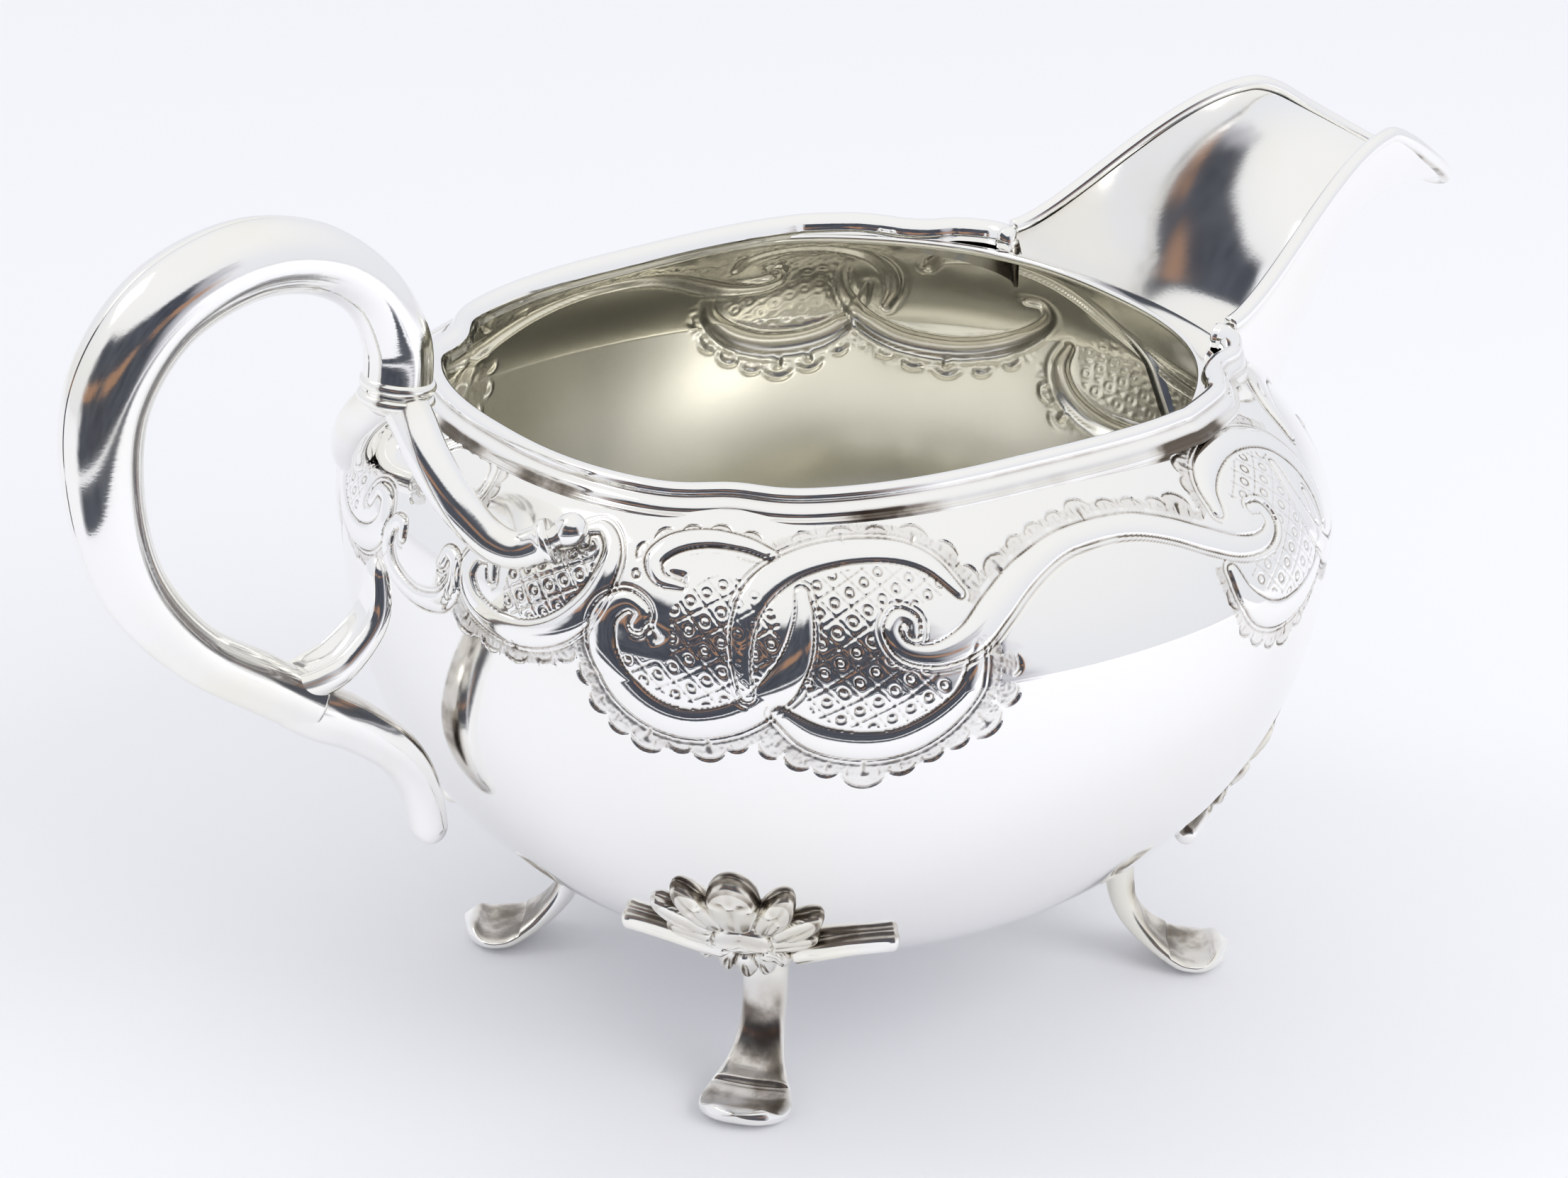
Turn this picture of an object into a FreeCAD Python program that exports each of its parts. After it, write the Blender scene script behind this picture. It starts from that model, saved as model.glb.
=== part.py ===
import FreeCAD, Part
import math
import os

# Silver sauce boat: a raised bowl on four cast feet, with an applied spout, a shaped
# rim moulding and a hollow scroll handle.  Millimetres, +Z up, +X towards the spout.
# The origin is on the table, at the middle of the boat's overall length and width.
# Left is +Y, right is -Y.  The boat is the same on both sides of the XZ plane.

V = FreeCAD.Vector
UP = V(0, 0, 1)
SIDEWAYS = V(0, 1, 0)

# --- driving dimensions -------------------------------------------------------------
BOWL_CENTRE_X = 3.5         # middle of the bowl's belly
RIM_CENTRE_X = 0.4          # middle of the bowl's mouth
BELLY_HALF_LENGTH = 59.5
BELLY_HALF_WIDTH = 56.8
MOUTH_HALF_LENGTH = 44.7
MOUTH_HALF_WIDTH = 39.5
BOWL_BASE_Z = 11.3
BELLY_Z = 64.0
BOWL_TOP_Z = 81.2
BOWL_WALL = 1.0
BELLY_SQUARENESS = 2.14     # superellipse exponents: 2 is an ellipse
MOUTH_SQUARENESS = 2.4
LOWER_FULLNESS = 2.3        # exponents of the side profile below and above the belly
UPPER_FULLNESS = 1.62
BASE_FLAT = 0.2             # flat part of the base, as a fraction of the belly

RIM_WIDTH = 3.2
RIM_HEIGHT = 2.4
RIM_OVERHANG = 0.6          # how far the rim's middle line stands outside the wall's middle
CUSP_ANGLE = 135.0          # shaped points of the rim, measured from +X
CUSP_SPREAD = 6.0
CUSP_INSET = 1.6
FLARE_ANGLE = 56.0          # where the rim leaves the oval to meet the spout's edge
RIM_START_ANGLE = 42.0      # where it ends, beside the spout

SPOUT_WALL = 1.2
SPOUT_EDGE = [V(46.5, 21.8, 83.0), V(55.0, 20.5, 84.0), V(70.0, 15.5, 101.5), V(81.2, 12.9, 98.6)]
SPOUT_KEEL = [V(57.0, 0, 45.0), V(74.5, 0, 58.0), V(68.0, 0, 92.0), V(99.0, 0, 86.2)]
SPOUT_ROUNDNESS = 1.25
SPOUT_STATIONS = 9
EDGE_WIRE_RADIUS = 1.0

HANDLE_WALL = 0.8
HANDLE_COUNT = 26
HANDLE_SPINE = [            # middle line of the hollow handle, from the collar downwards
    V(-58.1, 0, 90.5), V(-58.0, 0, 96.3), V(-61.4, 0, 103.2), V(-68.6, 0, 108.2),
    V(-78.0, 0, 109.4), V(-87.8, 0, 105.6), V(-94.1, 0, 97.2), V(-95.0, 0, 86.0),
    V(-92.2, 0, 74.8), V(-85.3, 0, 65.4), V(-76.5, 0, 58.8), V(-70.5, 0, 54.6),
]
HANDLE_RADII = [3.6, 3.6, 3.3, 4.1, 4.7, 5.0, 4.9, 4.4, 3.9, 3.4, 3.5, 3.4]
TAIL_SPINE = [V(-70.5, 0, 54.6), V(-64.7, 0, 50.6), V(-59.4, 0, 45.8), V(-56.2, 0, 40.4), V(-54.9, 0, 34.0)]
TAIL_RADII = [3.4, 3.3, 3.2, 2.9, 1.2]
SPUR_SPINE = [V(-72.0, 0, 57.6), V(-66.0, 0, 59.6), V(-62.2, 0, 64.0), V(-62.0, 0, 70.4)]
SPUR_WIDTHS = [3.2, 3.1, 2.6, 1.0]
SPUR_THICKNESSES = [2.4, 2.2, 1.8, 0.6]

COLLAR_Z = 90.4
COLLAR_HEIGHT = 5.6
COLLAR_RADIUS = 4.8
PRONG_SPINE = [
    V(-57.9, 0, 88.6), V(-58.5, 5.0, 86.0), V(-58.0, 10.8, 81.6), V(-55.6, 14.6, 76.8),
    V(-53.2, 17.6, 76.0), V(-50.6, 20.4, 77.7),
]
PRONG_RADII = [2.5, 2.2, 2.0, 1.9, 1.8, 1.5]
BUD_SPINE = [V(-51.2, 19.8, 77.2), V(-49.9, 21.2, 78.4), V(-49.0, 22.4, 79.4), V(-48.4, 23.1, 80.1)]
BUD_RADII = [1.9, 2.5, 2.1, 0.5]

FRONT_FOOT_ANGLE = 35.6     # directions of the feet from the bowl's middle
REAR_FOOT_ANGLE = 139.4
FRONT_FOOT_REACH = 48.0     # from the bowl's middle to the middle of the sole
REAR_FOOT_REACH = 43.4
LEG_PROFILE = [             # inward offset from the sole, height, width, thickness
    (11.0, 22.0, 6.4, 4.6), (11.3, 13.0, 5.8, 3.4), (10.2, 8.0, 6.2, 3.0), (7.4, 4.3, 7.8, 2.8),
    (3.6, 1.7, 10.0, 2.5), (-0.6, 1.0, 11.4, 2.4), (-3.6, 2.2, 10.2, 2.2), (-4.8, 3.6, 6.0, 1.4),
]
LEG_SQUARENESS = 2.8
LEAF_Z = 26.5               # middle of the leaf on the bowl's side
LEAF_HALF_HEIGHT = 12.6
LEAF_HALF_WIDTH = 9.2
LEAF_LOBES = 7
LEAF_NOTCH = 0.16
LEAF_THICKNESS = 1.8
WING_SPINE = [(2.0, 18.6, 3.6), (12.0, 20.6, 2.2), (24.0, 25.0, 1.2)]   # degrees, height, lift
WING_RADII = [1.3, 1.4, 1.5]


# --- curves and solids --------------------------------------------------------------
def closed_wire(points):
    curve = Part.BSplineCurve()
    curve.interpolate(points, PeriodicFlag=True)
    return Part.Wire([curve.toShape()])


def open_edge(points):
    curve = Part.BSplineCurve()
    curve.interpolate(points)
    return curve.toShape()


def superellipse(centre, along, across, half_length, half_width, exponent, count):
    points = []
    for i in range(count):
        angle = 2 * math.pi * i / count
        c, s = math.cos(angle), math.sin(angle)
        reach = (abs(c) ** exponent + abs(s) ** exponent) ** (-1 / exponent)
        points.append(centre + along * (half_length * reach * c) + across * (half_width * reach * s))
    return points


def at_stations(values, fractions, wanted):
    """Straight-line interpolation of values known at rising fractions."""
    for i in range(1, len(fractions)):
        if wanted <= fractions[i] or i == len(fractions) - 1:
            step = (wanted - fractions[i - 1]) / (fractions[i] - fractions[i - 1])
            return values[i - 1] + (values[i] - values[i - 1]) * step


def swept(spine, across_sizes, normal_sizes, side, count, squareness=2.0):
    """A solid along a smooth spine.  across_sizes lie along side, normal_sizes at right angles to it."""
    curve = Part.BSplineCurve()
    curve.interpolate(spine)
    lengths = [0.0]
    for a, b in zip(spine, spine[1:]):
        lengths.append(lengths[-1] + (b - a).Length)
    fractions = [length / lengths[-1] for length in lengths]
    places = curve.discretize(Number=count)
    sections = []
    for i, place in enumerate(places):
        before = places[max(i - 1, 0)]
        after = places[min(i + 1, count - 1)]
        tangent = (after - before).normalize()
        across = (side - tangent * side.dot(tangent)).normalize()
        normal = tangent.cross(across)
        fraction = i / (count - 1)
        half_across = at_stations(across_sizes, fractions, fraction)
        half_normal = at_stations(normal_sizes, fractions, fraction)
        outline = superellipse(place, across, normal, half_across, half_normal, squareness, 12)
        sections.append(closed_wire(outline))
    return Part.makeLoft(sections, True)


def mirrored(shape):
    return shape.mirror(V(0, 0, 0), SIDEWAYS)


# --- the bowl's surface -------------------------------------------------------------
def girth_at(z):
    """Size of the bowl at a height, as a fraction of the belly."""
    if z <= BELLY_Z:
        depth = min((BELLY_Z - z) / (BELLY_Z - BOWL_BASE_Z), 1.0)
        return (1 - depth ** LOWER_FULLNESS) ** (1 / LOWER_FULLNESS)
    rise = min((z - BELLY_Z) / (BOWL_TOP_Z - BELLY_Z), 1.0)
    mouth = MOUTH_HALF_LENGTH / BELLY_HALF_LENGTH
    return mouth + (1 - mouth) * (1 - rise ** UPPER_FULLNESS) ** (1 / UPPER_FULLNESS)


def bowl_point(angle_deg, z, lift=0.0):
    """A point on the bowl's side, lifted outwards from it."""
    angle = math.radians(angle_deg)
    girth = girth_at(z)
    flat = V(math.cos(angle) * BELLY_HALF_LENGTH * girth, math.sin(angle) * BELLY_HALF_WIDTH * girth, 0)
    return V(BOWL_CENTRE_X, 0, z) + flat + bowl_normal(angle_deg, z) * lift


def bowl_normal(angle_deg, z):
    angle = math.radians(angle_deg)
    outward = V(math.cos(angle), math.sin(angle), 0)
    slope = (girth_at(z + 0.5) - girth_at(z - 0.5)) * BELLY_HALF_LENGTH
    return (outward - UP * slope).normalize()


def bowl_section(height, girth, blend, grow):
    """One level outline of the bowl; blend runs from 0 at the belly to 1 at the mouth."""
    width_at_mouth = MOUTH_HALF_WIDTH / (MOUTH_HALF_LENGTH / BELLY_HALF_LENGTH)
    centre = V(BOWL_CENTRE_X + (RIM_CENTRE_X - BOWL_CENTRE_X) * blend, 0, height)
    half_length = BELLY_HALF_LENGTH * girth + grow
    half_width = (BELLY_HALF_WIDTH + (width_at_mouth - BELLY_HALF_WIDTH) * blend) * girth + grow
    squareness = BELLY_SQUARENESS + (MOUTH_SQUARENESS - BELLY_SQUARENESS) * blend
    return closed_wire(superellipse(centre, V(1, 0, 0), SIDEWAYS, half_length, half_width, squareness, 28))


def bowl_solid(grow):
    """The bowl as a full solid, with its surface moved outwards by grow."""
    wires = []
    lower_steps = 7
    start = math.acos(BASE_FLAT ** (LOWER_FULLNESS / 2))
    for i in range(lower_steps):
        angle = start * (1 - i / lower_steps)
        girth = math.cos(angle) ** (2 / LOWER_FULLNESS)
        depth = math.sin(angle) ** (2 / LOWER_FULLNESS)
        height = BELLY_Z - (BELLY_Z - BOWL_BASE_Z + grow) * depth
        wires.append(bowl_section(height, girth, 0.0, grow))
    for rise in (0.0, 0.35, 0.65, 0.87, 1.0):
        height = BELLY_Z + (BOWL_TOP_Z - BELLY_Z) * rise
        wires.append(bowl_section(height, girth_at(height), rise, grow))
    return Part.makeLoft(wires, True)


def make_bowl(outer):
    return outer.cut(bowl_solid(-BOWL_WALL))


# --- rim and spout ------------------------------------------------------------------
def cusp_amount(angle_deg):
    away = (abs(angle_deg) - CUSP_ANGLE) / CUSP_SPREAD
    return math.exp(-away * away)


def rim_point(angle_deg, outward):
    """A point on the rim's path: the mouth's oval, its shaped points and its flare to the spout."""
    angle = math.radians(angle_deg)
    c, s = math.cos(angle), math.sin(angle)
    reach = (abs(c) ** MOUTH_SQUARENESS + abs(s) ** MOUTH_SQUARENESS) ** (-1 / MOUTH_SQUARENESS)
    grow = outward - CUSP_INSET * cusp_amount(angle_deg)
    x = RIM_CENTRE_X + (MOUTH_HALF_LENGTH + grow) * reach * c
    y = (MOUTH_HALF_WIDTH + grow) * reach * s
    return V(x, y, BOWL_TOP_Z)


def rim_path_point(angle_deg):
    """As rim_point, but the path's two ends run out to the spout's edge."""
    point = rim_point(angle_deg, RIM_OVERHANG - BOWL_WALL / 2)
    near_end = max(0.0, (FLARE_ANGLE - abs(angle_deg)) / (FLARE_ANGLE - RIM_START_ANGLE))
    junction = SPOUT_EDGE[0]
    end = V(junction.x - 0.5, math.copysign(junction.y + 0.4, angle_deg), BOWL_TOP_Z)
    return point + (end - rim_point(math.copysign(RIM_START_ANGLE, angle_deg), 0)) * near_end ** 2


def make_rim_moulding():
    """A half-round moulding with a step at its foot, swept round the mouth."""
    count = 72
    span = 360.0 - 2 * RIM_START_ANGLE
    angles = [RIM_START_ANGLE + span * i / count for i in range(count + 1)]
    path = [rim_path_point(angle if angle <= 180 else angle - 360) for angle in angles]
    inward = (UP.cross(path[1] - path[0])).normalize()
    half = RIM_WIDTH / 2
    step = RIM_HEIGHT * 0.4

    def corner(across, height):
        return path[0] - inward * across + UP * height

    outline = [
        Part.makeLine(corner(-half * 0.8, 0), corner(half, 0)),
        Part.makeLine(corner(half, 0), corner(half, step)),
        Part.makeLine(corner(half, step), corner(half * 0.75, step)),
        Part.Arc(corner(half * 0.75, step), corner(0, RIM_HEIGHT), corner(-half * 0.8, step)).toShape(),
        Part.makeLine(corner(-half * 0.8, step), corner(-half * 0.8, 0)),
    ]
    sweep = Part.BRepOffsetAPI.MakePipeShell(Part.Wire([open_edge(path)]))
    sweep.setBiNormalMode(UP)
    sweep.add(Part.Wire(outline))
    sweep.build()
    sweep.makeSolid()
    return sweep.shape()


def bezier(points, t):
    a, b, c, d = points
    return a * (1 - t) ** 3 + b * (3 * t * (1 - t) ** 2) + c * (3 * t * t * (1 - t)) + d * t ** 3


def spout_curve(t, inset):
    """The U of the spout at a station, from its left edge round the keel to its right edge."""
    edge = bezier(SPOUT_EDGE, t)
    keel = bezier(SPOUT_KEEL, t)
    rise = V(edge.x - keel.x, 0, edge.z - keel.z)
    depth = rise.Length - inset
    points = []
    for i in range(17):
        across = 1 - i / 8
        angle = abs(across) * math.pi / 2
        side = math.copysign(math.sin(angle) ** SPOUT_ROUNDNESS, across) * (edge.y - inset)
        height = inset + depth * (1 - math.cos(angle) ** SPOUT_ROUNDNESS)
        points.append(keel + rise.normalize() * height + SIDEWAYS * side)
    return points


def spout_section(t, shift):
    outer = [point + shift for point in spout_curve(t, 0.0)]
    inner = [point + shift for point in spout_curve(t, SPOUT_WALL)]
    inner.reverse()
    edges = [
        open_edge(outer), Part.makeLine(outer[-1], inner[0]),
        open_edge(inner), Part.makeLine(inner[-1], outer[0]),
    ]
    return Part.Wire(edges)


def make_edge_wire():
    """The rolled wire on the spout's edge: up one side, round the lip and back."""
    steps = 8
    middle = SPOUT_WALL / 2
    left = [spout_curve(i / steps, middle)[0] for i in range(steps)]
    lip = spout_curve(1.0, middle)[1:-1:2]
    right = [V(point.x, -point.y, point.z) for point in reversed(left)]
    spine = left + lip + right
    radii = [EDGE_WIRE_RADIUS] * len(spine)
    return swept(spine, radii, radii, UP, 64)


def make_spout(bowl_outer, rim_moulding, edge_wire):
    back_shift = V(-16, 0, 0)
    sections = [spout_section(0.0, back_shift)]
    for i in range(SPOUT_STATIONS):
        sections.append(spout_section(i / (SPOUT_STATIONS - 1), V(0, 0, 0)))
    channel = Part.makeLoft(sections, True)
    mouth = [rim_point(12 * i, 0) for i in range(30)]
    mouth_column = Part.Face(closed_wire(mouth)).extrude(UP * 40)
    channel = channel.cut(bowl_outer.fuse(mouth_column))
    behind = SPOUT_EDGE[0].x - 40
    over_mouth = Part.makeBox(40, 100, 40, V(behind, -50, BOWL_TOP_Z))
    channel = channel.cut(over_mouth).cut(rim_moulding).cut(edge_wire)
    return largest(channel)


def largest(shape):
    return max(shape.Solids, key=lambda solid: solid.Volume)


# --- handle -------------------------------------------------------------------------
def make_handle_halves():
    outer = swept(HANDLE_SPINE, HANDLE_RADII, HANDLE_RADII, SIDEWAYS, HANDLE_COUNT)
    bore = [radius - HANDLE_WALL for radius in HANDLE_RADII]
    inner = swept(HANDLE_SPINE, bore, bore, SIDEWAYS, HANDLE_COUNT)
    tube = outer.cut(inner)
    left_space = Part.makeBox(120, 20, 120, V(-120, 0, 20))
    left = largest(tube.common(left_space))
    return left, mirrored(left), outer


def make_collar(handle_outer):
    half = COLLAR_HEIGHT / 2
    bead = half / 2
    waist = COLLAR_RADIUS - 1.0
    axis_x = HANDLE_SPINE[0].x
    base = V(axis_x, 0, COLLAR_Z)
    outline = [V(0, 0, -half), V(waist, 0, -half)]
    edges = [Part.makeLine(outline[0], outline[1])]
    edges.append(Part.Arc(V(waist, 0, -half), V(COLLAR_RADIUS, 0, -bead), V(waist, 0, 0)).toShape())
    edges.append(Part.Arc(V(waist, 0, 0), V(COLLAR_RADIUS, 0, bead), V(waist, 0, half)).toShape())
    edges.append(Part.makeLine(V(waist, 0, half), V(0, 0, half)))
    edges.append(Part.makeLine(V(0, 0, half), V(0, 0, -half)))
    collar = Part.Face(Part.Wire(edges)).revolve(V(0, 0, 0), UP, 360)
    collar.translate(base)
    return collar.cut(handle_outer)


def make_tail(bowl_outer):
    tail = swept(TAIL_SPINE, TAIL_RADII, TAIL_RADII, SIDEWAYS, 14)
    return largest(tail.cut(bowl_outer))


def make_spur(handle_outer, tail):
    spur = swept(SPUR_SPINE, SPUR_WIDTHS, SPUR_THICKNESSES, SIDEWAYS, 14)
    return largest(spur.cut(handle_outer).cut(tail))


def make_prong(bowl_outer, collar, handle_outer):
    prong = swept(PRONG_SPINE, PRONG_RADII, PRONG_RADII, UP.cross(V(1, 1, 0)), 18)
    left_space = Part.makeBox(40, 40, 60, V(-80, 0, 60))
    prong = prong.common(left_space)
    return largest(prong.cut(bowl_outer).cut(collar).cut(handle_outer))


def make_bud(bowl_outer, prong):
    bud = swept(BUD_SPINE, BUD_RADII, BUD_RADII, UP, 10)
    return largest(bud.cut(bowl_outer).cut(prong))


# --- feet ---------------------------------------------------------------------------
def make_leg(angle_deg, reach, bowl_outer):
    angle = math.radians(angle_deg)
    outward = V(math.cos(angle), math.sin(angle), 0)
    side = UP.cross(outward)
    spine = [V(BOWL_CENTRE_X, 0, z) + outward * (reach - inset) for inset, z, _, _ in LEG_PROFILE]
    half_widths = [width / 2 for _, _, width, _ in LEG_PROFILE]
    half_thicknesses = [thickness / 2 for _, _, _, thickness in LEG_PROFILE]
    leg = swept(spine, half_widths, half_thicknesses, side, 20, LEG_SQUARENESS)
    below_table = Part.makeBox(300, 300, 20, V(-150, -150, -20))
    return largest(leg.cut(bowl_outer).cut(below_table))


def make_leaf(angle_deg, bowl_outer, leaf_outer, leg):
    """A palmette that lies on the bowl's side, over the top of the leg."""
    centre = bowl_point(angle_deg, LEAF_Z)
    normal = bowl_normal(angle_deg, LEAF_Z)
    side = UP.cross(normal).normalize()
    up_slope = normal.cross(side)
    outline = []
    count = 84
    for i in range(count):
        turn = 2 * math.pi * i / count
        lobe = 1 - LEAF_NOTCH * (1 - abs(math.cos(LEAF_LOBES * turn / 2)))
        outline.append(
            centre - normal * 8
            + side * (LEAF_HALF_WIDTH * lobe * math.sin(turn))
            + up_slope * (LEAF_HALF_HEIGHT * lobe * math.cos(turn))
        )
    plug = Part.Face(closed_wire(outline)).extrude(normal * 20)
    return largest(plug.common(leaf_outer).cut(bowl_outer).cut(leg))


def make_wings(angle_deg, bowl_outer, leg, leaf):
    """The two scroll arms that run out from the top of the leg along the bowl."""
    arms = []
    for direction in (-1, 1):
        spine = [bowl_point(angle_deg + direction * turn, z, lift) for turn, z, lift in WING_SPINE]
        arm = swept(spine, WING_RADII, WING_RADII, UP, 10)
        arms.append(largest(arm.cut(bowl_outer).cut(leg).cut(leaf)))
    return Part.makeCompound(arms)


def make_foot(parts, place, angle_deg, reach, bowl_outer, leaf_outer):
    leg = make_leg(angle_deg, reach, bowl_outer)
    leaf = make_leaf(angle_deg, bowl_outer, leaf_outer, leg)
    wings = make_wings(angle_deg, bowl_outer, leg, leaf)
    for name, shape in (("leg", leg), ("foot_leaf", leaf), ("foot_scrolls", wings)):
        parts[f"{name}_{place}_left"] = shape
        parts[f"{name}_{place}_right"] = mirrored(shape)


# --- assembly -----------------------------------------------------------------------
def make_parts():
    parts = {}
    bowl_outer = bowl_solid(0.0)
    leaf_outer = bowl_solid(LEAF_THICKNESS)
    parts["bowl"] = make_bowl(bowl_outer)
    parts["rim_moulding"] = make_rim_moulding()
    edge_wire = make_edge_wire()
    parts["spout_edge_wire"] = edge_wire.cut(parts["rim_moulding"])
    parts["spout"] = make_spout(bowl_outer, parts["rim_moulding"], edge_wire)
    left_half, right_half, handle_outer = make_handle_halves()
    parts["handle_left_half"] = left_half
    parts["handle_right_half"] = right_half
    parts["handle_collar"] = make_collar(handle_outer)
    parts["handle_tail"] = make_tail(bowl_outer)
    parts["handle_spur"] = make_spur(handle_outer, parts["handle_tail"])
    prong = make_prong(bowl_outer, parts["handle_collar"], handle_outer)
    parts["fork_prong_left"] = prong
    parts["fork_prong_right"] = mirrored(prong)
    bud = make_bud(bowl_outer, prong)
    parts["fork_bud_left"] = bud
    parts["fork_bud_right"] = mirrored(bud)
    make_foot(parts, "front", FRONT_FOOT_ANGLE, FRONT_FOOT_REACH, bowl_outer, leaf_outer)
    make_foot(parts, "rear", REAR_FOOT_ANGLE, REAR_FOOT_REACH, bowl_outer, leaf_outer)
    return parts


def main():
    os.makedirs("parts", exist_ok=True)
    for name, shape in make_parts().items():
        shape.exportStep(f"parts/{name}.step")
        box = shape.BoundBox
        print(f"{name}: {len(shape.Solids)} solids, {shape.Volume:.0f} mm3,",
              f"x {box.XMin:.1f} to {box.XMax:.1f}, z {box.ZMin:.1f} to {box.ZMax:.1f}, valid {shape.isValid()}")


main()
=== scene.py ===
"""Looks of the silver sauce boat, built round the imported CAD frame.

Every length is in millimetres until make_mesh turns it into metres.  +X is towards the spout, +Z up.
Left is +Y and right is -Y.
"""

import math

import bpy
import numpy as np
from mathutils import Matrix, Vector


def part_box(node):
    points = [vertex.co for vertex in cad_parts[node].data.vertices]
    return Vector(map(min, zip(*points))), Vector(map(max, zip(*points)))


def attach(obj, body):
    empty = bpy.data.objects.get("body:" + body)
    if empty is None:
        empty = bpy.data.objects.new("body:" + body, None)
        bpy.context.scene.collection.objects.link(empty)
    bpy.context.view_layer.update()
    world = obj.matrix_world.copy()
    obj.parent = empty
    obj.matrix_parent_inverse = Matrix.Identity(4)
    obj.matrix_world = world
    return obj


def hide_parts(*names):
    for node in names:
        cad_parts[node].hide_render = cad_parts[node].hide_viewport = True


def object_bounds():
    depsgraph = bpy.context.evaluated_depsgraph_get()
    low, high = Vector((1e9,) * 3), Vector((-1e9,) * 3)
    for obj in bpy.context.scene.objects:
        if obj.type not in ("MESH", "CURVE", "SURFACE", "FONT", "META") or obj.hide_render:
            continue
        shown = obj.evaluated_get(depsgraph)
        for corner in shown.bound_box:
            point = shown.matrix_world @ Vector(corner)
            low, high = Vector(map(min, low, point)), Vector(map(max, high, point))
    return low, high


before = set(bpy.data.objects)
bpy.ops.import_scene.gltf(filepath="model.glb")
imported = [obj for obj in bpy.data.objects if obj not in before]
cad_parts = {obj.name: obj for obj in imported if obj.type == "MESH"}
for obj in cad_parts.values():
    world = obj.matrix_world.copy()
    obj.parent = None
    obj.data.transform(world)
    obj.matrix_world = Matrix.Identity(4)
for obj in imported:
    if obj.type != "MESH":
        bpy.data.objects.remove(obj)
cad_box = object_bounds()

MM = 0.001
UP = np.array([0.0, 0.0, 1.0])
SIDEWAYS = np.array([0.0, 1.0, 0.0])
SIDES = {"left": 1, "right": -1}
random = np.random.default_rng(7)


def corners(*nodes):
    """Lowest and highest corner of some CAD nodes taken together, in millimetres."""
    boxes = [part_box(node) for node in nodes]
    low = np.min([np.array(box[0]) for box in boxes], axis=0)
    high = np.max([np.array(box[1]) for box in boxes], axis=0)
    return low / MM, high / MM


def from_corner(node, rows):
    """Rows of a spine whose x and z are measured from the low corner of a CAD node's box."""
    rows = np.array(rows, float)
    low, _ = corners(node)
    rows[:, 0] += low[0]
    rows[:, 2] += low[2]
    return rows


# --- the bowl's surface ----------------------------------------------------------------
BOWL_LOW, BOWL_HIGH = corners("bowl")
BOWL_TOP = BOWL_HIGH[2]
BELLY_CENTRE = (BOWL_LOW[0] + BOWL_HIGH[0]) / 2
BELLY_HALF_LENGTH = (BOWL_HIGH[0] - BOWL_LOW[0]) / 2
BELLY_HALF_WIDTH = (BOWL_HIGH[1] - BOWL_LOW[1]) / 2
MOUTH_CENTRE = BELLY_CENTRE - 3.1
MOUTH_HALF_LENGTH = BELLY_HALF_LENGTH * 0.751
MOUTH_HALF_WIDTH = BELLY_HALF_WIDTH * 0.695
BELLY_Z = BOWL_TOP - 17.2
WALL = 1.0
BELLY_SQUARENESS = 2.14
MOUTH_SQUARENESS = 2.4
LOWER_FULLNESS = 2.3
UPPER_FULLNESS = 1.62
BASE_FLAT = 0.2             # flat part of the base, as a share of the belly
BASE_DEPTH = (1 - BASE_FLAT ** LOWER_FULLNESS) ** (1 / LOWER_FULLNESS)
DROP = (BELLY_Z - BOWL_LOW[2]) / BASE_DEPTH

BAND_RADIUS = 58.2          # turns an angle round the bowl into a distance along the chased band
BELLY_DOWN = 25.06          # distance down the wall at the belly
BAND_END = 38.0             # distance down the wall where the chasing has stopped
CELL = 0.16                 # spacing of the points on the chased band
COLUMNS = 2400
SOFT_FACTOR = 2             # the inside and the plain lower wall have fewer points
REVERSE_DEPTH = 1.7         # how much deeper than true the chasing shows inside the bowl
GRAIN_HEIGHT = 0.055


def girth_at(z):
    """Size of the bowl at a height, as a share of the belly."""
    depth = np.clip((BELLY_Z - z) / DROP, 0, 1)
    rise = np.clip((z - BELLY_Z) / (BOWL_TOP - BELLY_Z), 0, 1)
    mouth = MOUTH_HALF_LENGTH / BELLY_HALF_LENGTH
    below = (1 - depth ** LOWER_FULLNESS) ** (1 / LOWER_FULLNESS)
    above = mouth + (1 - mouth) * (1 - rise ** UPPER_FULLNESS) ** (1 / UPPER_FULLNESS)
    return np.where(z < BELLY_Z, below, above)


def squared_reach(angle, power):
    """How far a unit outline reaches at an angle: power 2 is a circle, more is squarer."""
    return (np.abs(np.cos(angle)) ** power + np.abs(np.sin(angle)) ** power) ** (-1 / power)


def plan(angle, z):
    """Centre and half sizes of the bowl's level outline, and how far the outline reaches at an angle."""
    rise = np.clip((z - BELLY_Z) / (BOWL_TOP - BELLY_Z), 0, 1)
    centre = BELLY_CENTRE + (MOUTH_CENTRE - BELLY_CENTRE) * rise
    width_at_mouth = MOUTH_HALF_WIDTH * BELLY_HALF_LENGTH / MOUTH_HALF_LENGTH
    half_width = BELLY_HALF_WIDTH + (width_at_mouth - BELLY_HALF_WIDTH) * rise
    power = BELLY_SQUARENESS + (MOUTH_SQUARENESS - BELLY_SQUARENESS) * rise
    reach = squared_reach(angle, power)
    return centre, half_width, reach


def bowl_surface(angle, z):
    """Points on the bowl's outside."""
    centre, half_width, reach = plan(angle, z)
    girth = girth_at(z) * reach
    x = centre + BELLY_HALF_LENGTH * girth * np.cos(angle)
    y = half_width * girth * np.sin(angle)
    return np.stack(np.broadcast_arrays(x, y, z), -1)


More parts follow.
